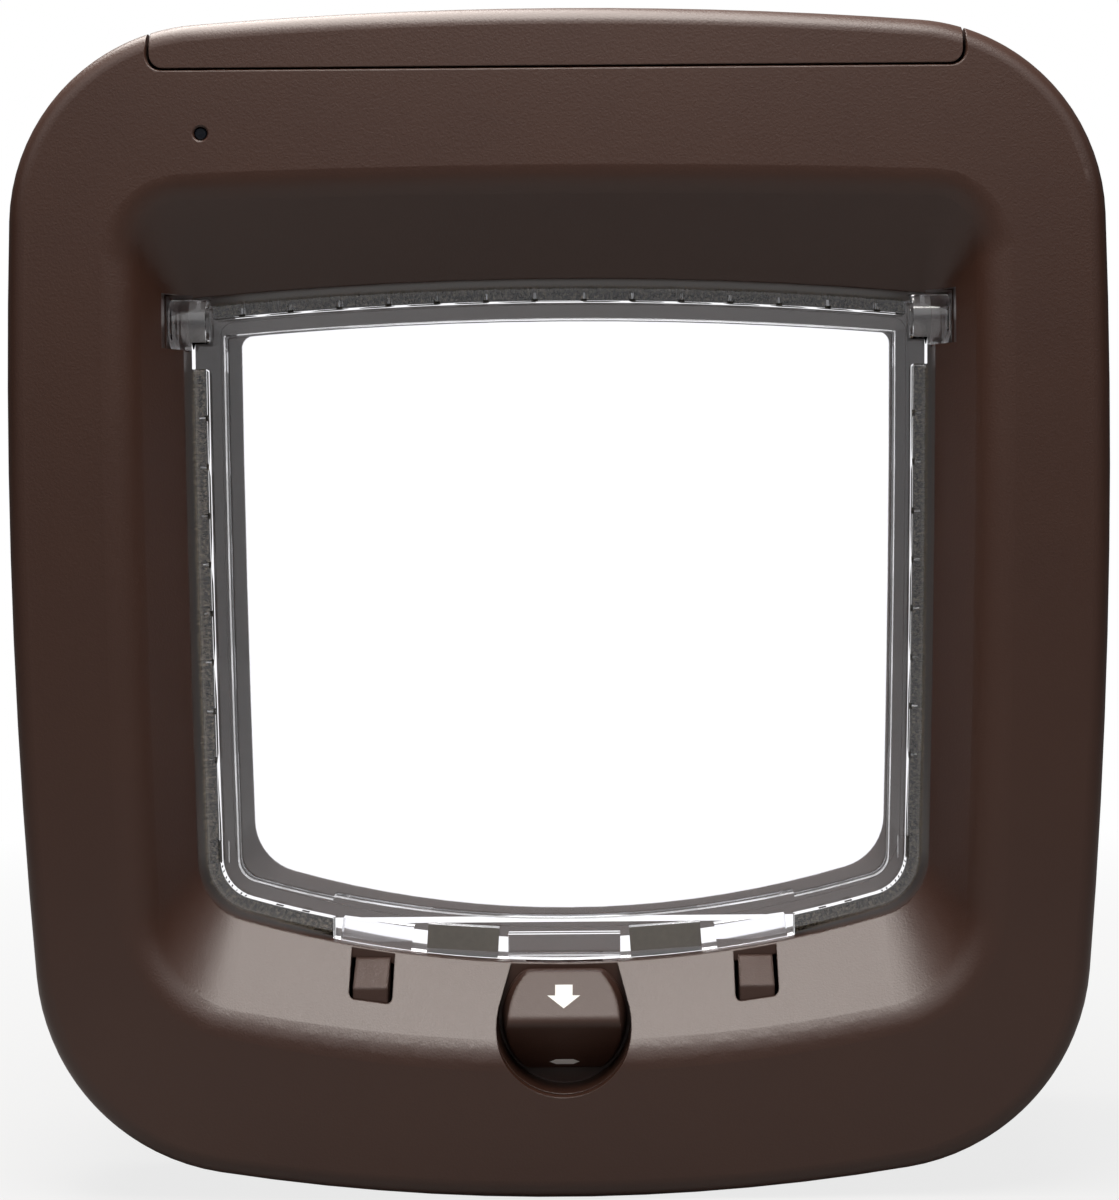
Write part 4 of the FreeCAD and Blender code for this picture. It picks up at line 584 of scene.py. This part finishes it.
pale, tree, shader = surface("pale_board", {"Base Color": linear(FLOOR), "Roughness": 0.9})
level = shown_level(tree)
glow = node(tree, "ShaderNodeEmission", {"Color": (1, 1, 1, 1)}, {"Strength": level})
place = node(tree, "ShaderNodeTexCoord").outputs["Object"]
far = node(tree, "ShaderNodeVectorMath", {"operation": "LENGTH"}, {0: place}).outputs["Value"]
white = node(tree, "ShaderNodeMapRange", {"From Min": SHADOW_NEAR, "From Max": SHADOW_FAR,
                                          "To Min": SHADOW_SHARE, "To Max": 1.0},
             {0: far})
shown = node(tree, "ShaderNodeMath", {"operation": "MULTIPLY", "use_clamp": True},
             {0: level, 1: white})
both = node(tree, "ShaderNodeMixShader", None,
            {0: shown, 1: shader.outputs[0], 2: glow})
tree.links.new(both.outputs[0], tree.nodes["Material Output"].inputs["Surface"])
floor_mesh.materials.append(pale)

# World
# White to the camera and through the clear flap. For other rays a grey wall
# with dark flags stands behind, the room is dim to gloss and soft to matt faces,
# paler above and below, and a pale panel above the camera lights the gloss.

WALL_GREY = 0.22
FLAG_DARK = 0.04
ROOM_DIM = 0.01
ROOM_SOFT = 0.16
ABOVE = 0.25
FRONT_GLOW = 1.3
# Way is the ray's direction, so its limits below are sines of angles.
world = bpy.data.worlds.new("studio")
bpy.context.scene.world = world
world.use_nodes = True
tree = world.node_tree
tree.nodes.clear()
way = node(tree, "ShaderNodeSeparateXYZ", None,
           {0: node(tree, "ShaderNodeTexCoord").outputs["Generated"]})
aside = node(tree, "ShaderNodeMath", {"operation": "ABSOLUTE"}, {0: way.outputs["X"]})
updown = node(tree, "ShaderNodeMath", {"operation": "ABSOLUTE"}, {0: way.outputs["Z"]})
flags = node(tree, "ShaderNodeMapRange", {"From Min": 0.15, "From Max": 0.35, "To Min": 1.0,
                                          "To Max": FLAG_DARK / WALL_GREY}, {0: aside})
wall = node(tree, "ShaderNodeMapRange", {"From Min": 0.0, "From Max": 0.4, "To Min": ROOM_DIM,
                                         "To Max": WALL_GREY}, {0: way.outputs["Y"]})
behind = node(tree, "ShaderNodeMath", {"operation": "MULTIPLY"}, {0: flags, 1: wall})
high = node(tree, "ShaderNodeMapRange", {"From Min": 0.1, "From Max": 0.8, "To Min": 0.0,
                                         "To Max": ABOVE}, {0: updown})
upper = node(tree, "ShaderNodeMapRange", {"From Min": 0.2, "From Max": 0.4, "To Min": 0.0,
                                          "To Max": FRONT_GLOW}, {0: way.outputs["Z"]})
ahead = node(tree, "ShaderNodeMapRange", {"From Min": -0.2, "From Max": -0.6},
             {0: way.outputs["Y"]})
ray = node(tree, "ShaderNodeLightPath")
gloss = node(tree, "ShaderNodeMath", {"operation": "MULTIPLY"},
             {0: upper, 1: ray.outputs["Is Glossy Ray"]})
shine = node(tree, "ShaderNodeMath", {"operation": "MULTIPLY"}, {0: gloss, 1: ahead})
paler = node(tree, "ShaderNodeMath", {"operation": "ADD"}, {0: high, 1: shine})
lit = node(tree, "ShaderNodeMath", {"operation": "ADD"}, {0: behind, 1: paler})
soft = node(tree, "ShaderNodeMath", {"operation": "MULTIPLY", 1: ROOM_SOFT},
            {0: ray.outputs["Is Diffuse Ray"]})
room = node(tree, "ShaderNodeMath", {"operation": "ADD"}, {0: lit, 1: soft})
level = node(tree, "ShaderNodeMath", {"operation": "MAXIMUM"}, {0: room, 1: shown_level(tree)})
backdrop = node(tree, "ShaderNodeBackground", {"Color": (1, 1, 1, 1)}, {"Strength": level})
node(tree, "ShaderNodeOutputWorld", None, {"Surface": backdrop})

# Lamps
# One large softbox hangs overhead, a little to the left and in front. It lights
# the upper edges, the clear rims and the funnel's floor.

LAMP_WARM = "#fff9f3"
LAMP_PLACE = Vector((-0.06, -0.07, 0.45))
LAMP_AIM = Vector((0, -0.04, 0))
LAMP_WIDE, LAMP_DEEP = 0.7, 0.28
LAMP_WATTS = 6.6
lamp = bpy.data.lights.new("overhead_softbox", "AREA")
lamp.shape = "RECTANGLE"
lamp.size, lamp.size_y = LAMP_WIDE, LAMP_DEEP
lamp.energy = LAMP_WATTS
lamp.color = linear(LAMP_WARM)[:3]
softbox = bpy.data.objects.new("overhead_softbox", lamp)
softbox.location = LAMP_PLACE
softbox.rotation_euler = (LAMP_AIM - LAMP_PLACE).to_track_quat("-Z", "Y").to_euler()
bpy.context.scene.collection.objects.link(softbox)

# Camera
# Level with the passage, 0.5 m in front of the front face, leaning about half
# a degree, with the photograph's frame of 1119 x 1200 and scale.

FRAME_PX = (1119, 1200)
MM_PER_PX = 0.2038
CAMERA_GAP_MM = 500.0
FRONT_MM = 38.0
VANISHING_PX = (605.0, 567.0)
VANISHING_MM = (9.2, 11.2)
LEAN_DEGREES = 0.45
view = bpy.data.cameras.new("camera")
view.lens = view.sensor_width * CAMERA_GAP_MM / (FRAME_PX[1] * MM_PER_PX)
view.shift_x = (FRAME_PX[0] / 2 - VANISHING_PX[0]) / FRAME_PX[1]
view.shift_y = (VANISHING_PX[1] - FRAME_PX[1] / 2) / FRAME_PX[1]
view.clip_start = 0.01
camera = bpy.data.objects.new("camera", view)
camera.location = (VANISHING_MM[0] / 1000, -(CAMERA_GAP_MM + FRONT_MM) / 1000,
                   VANISHING_MM[1] / 1000)
camera.rotation_euler = (math.pi / 2, math.radians(LEAN_DEGREES), 0)
bpy.context.scene.collection.objects.link(camera)
bpy.context.scene.camera = camera
bpy.context.scene.view_settings.view_transform = "Standard"
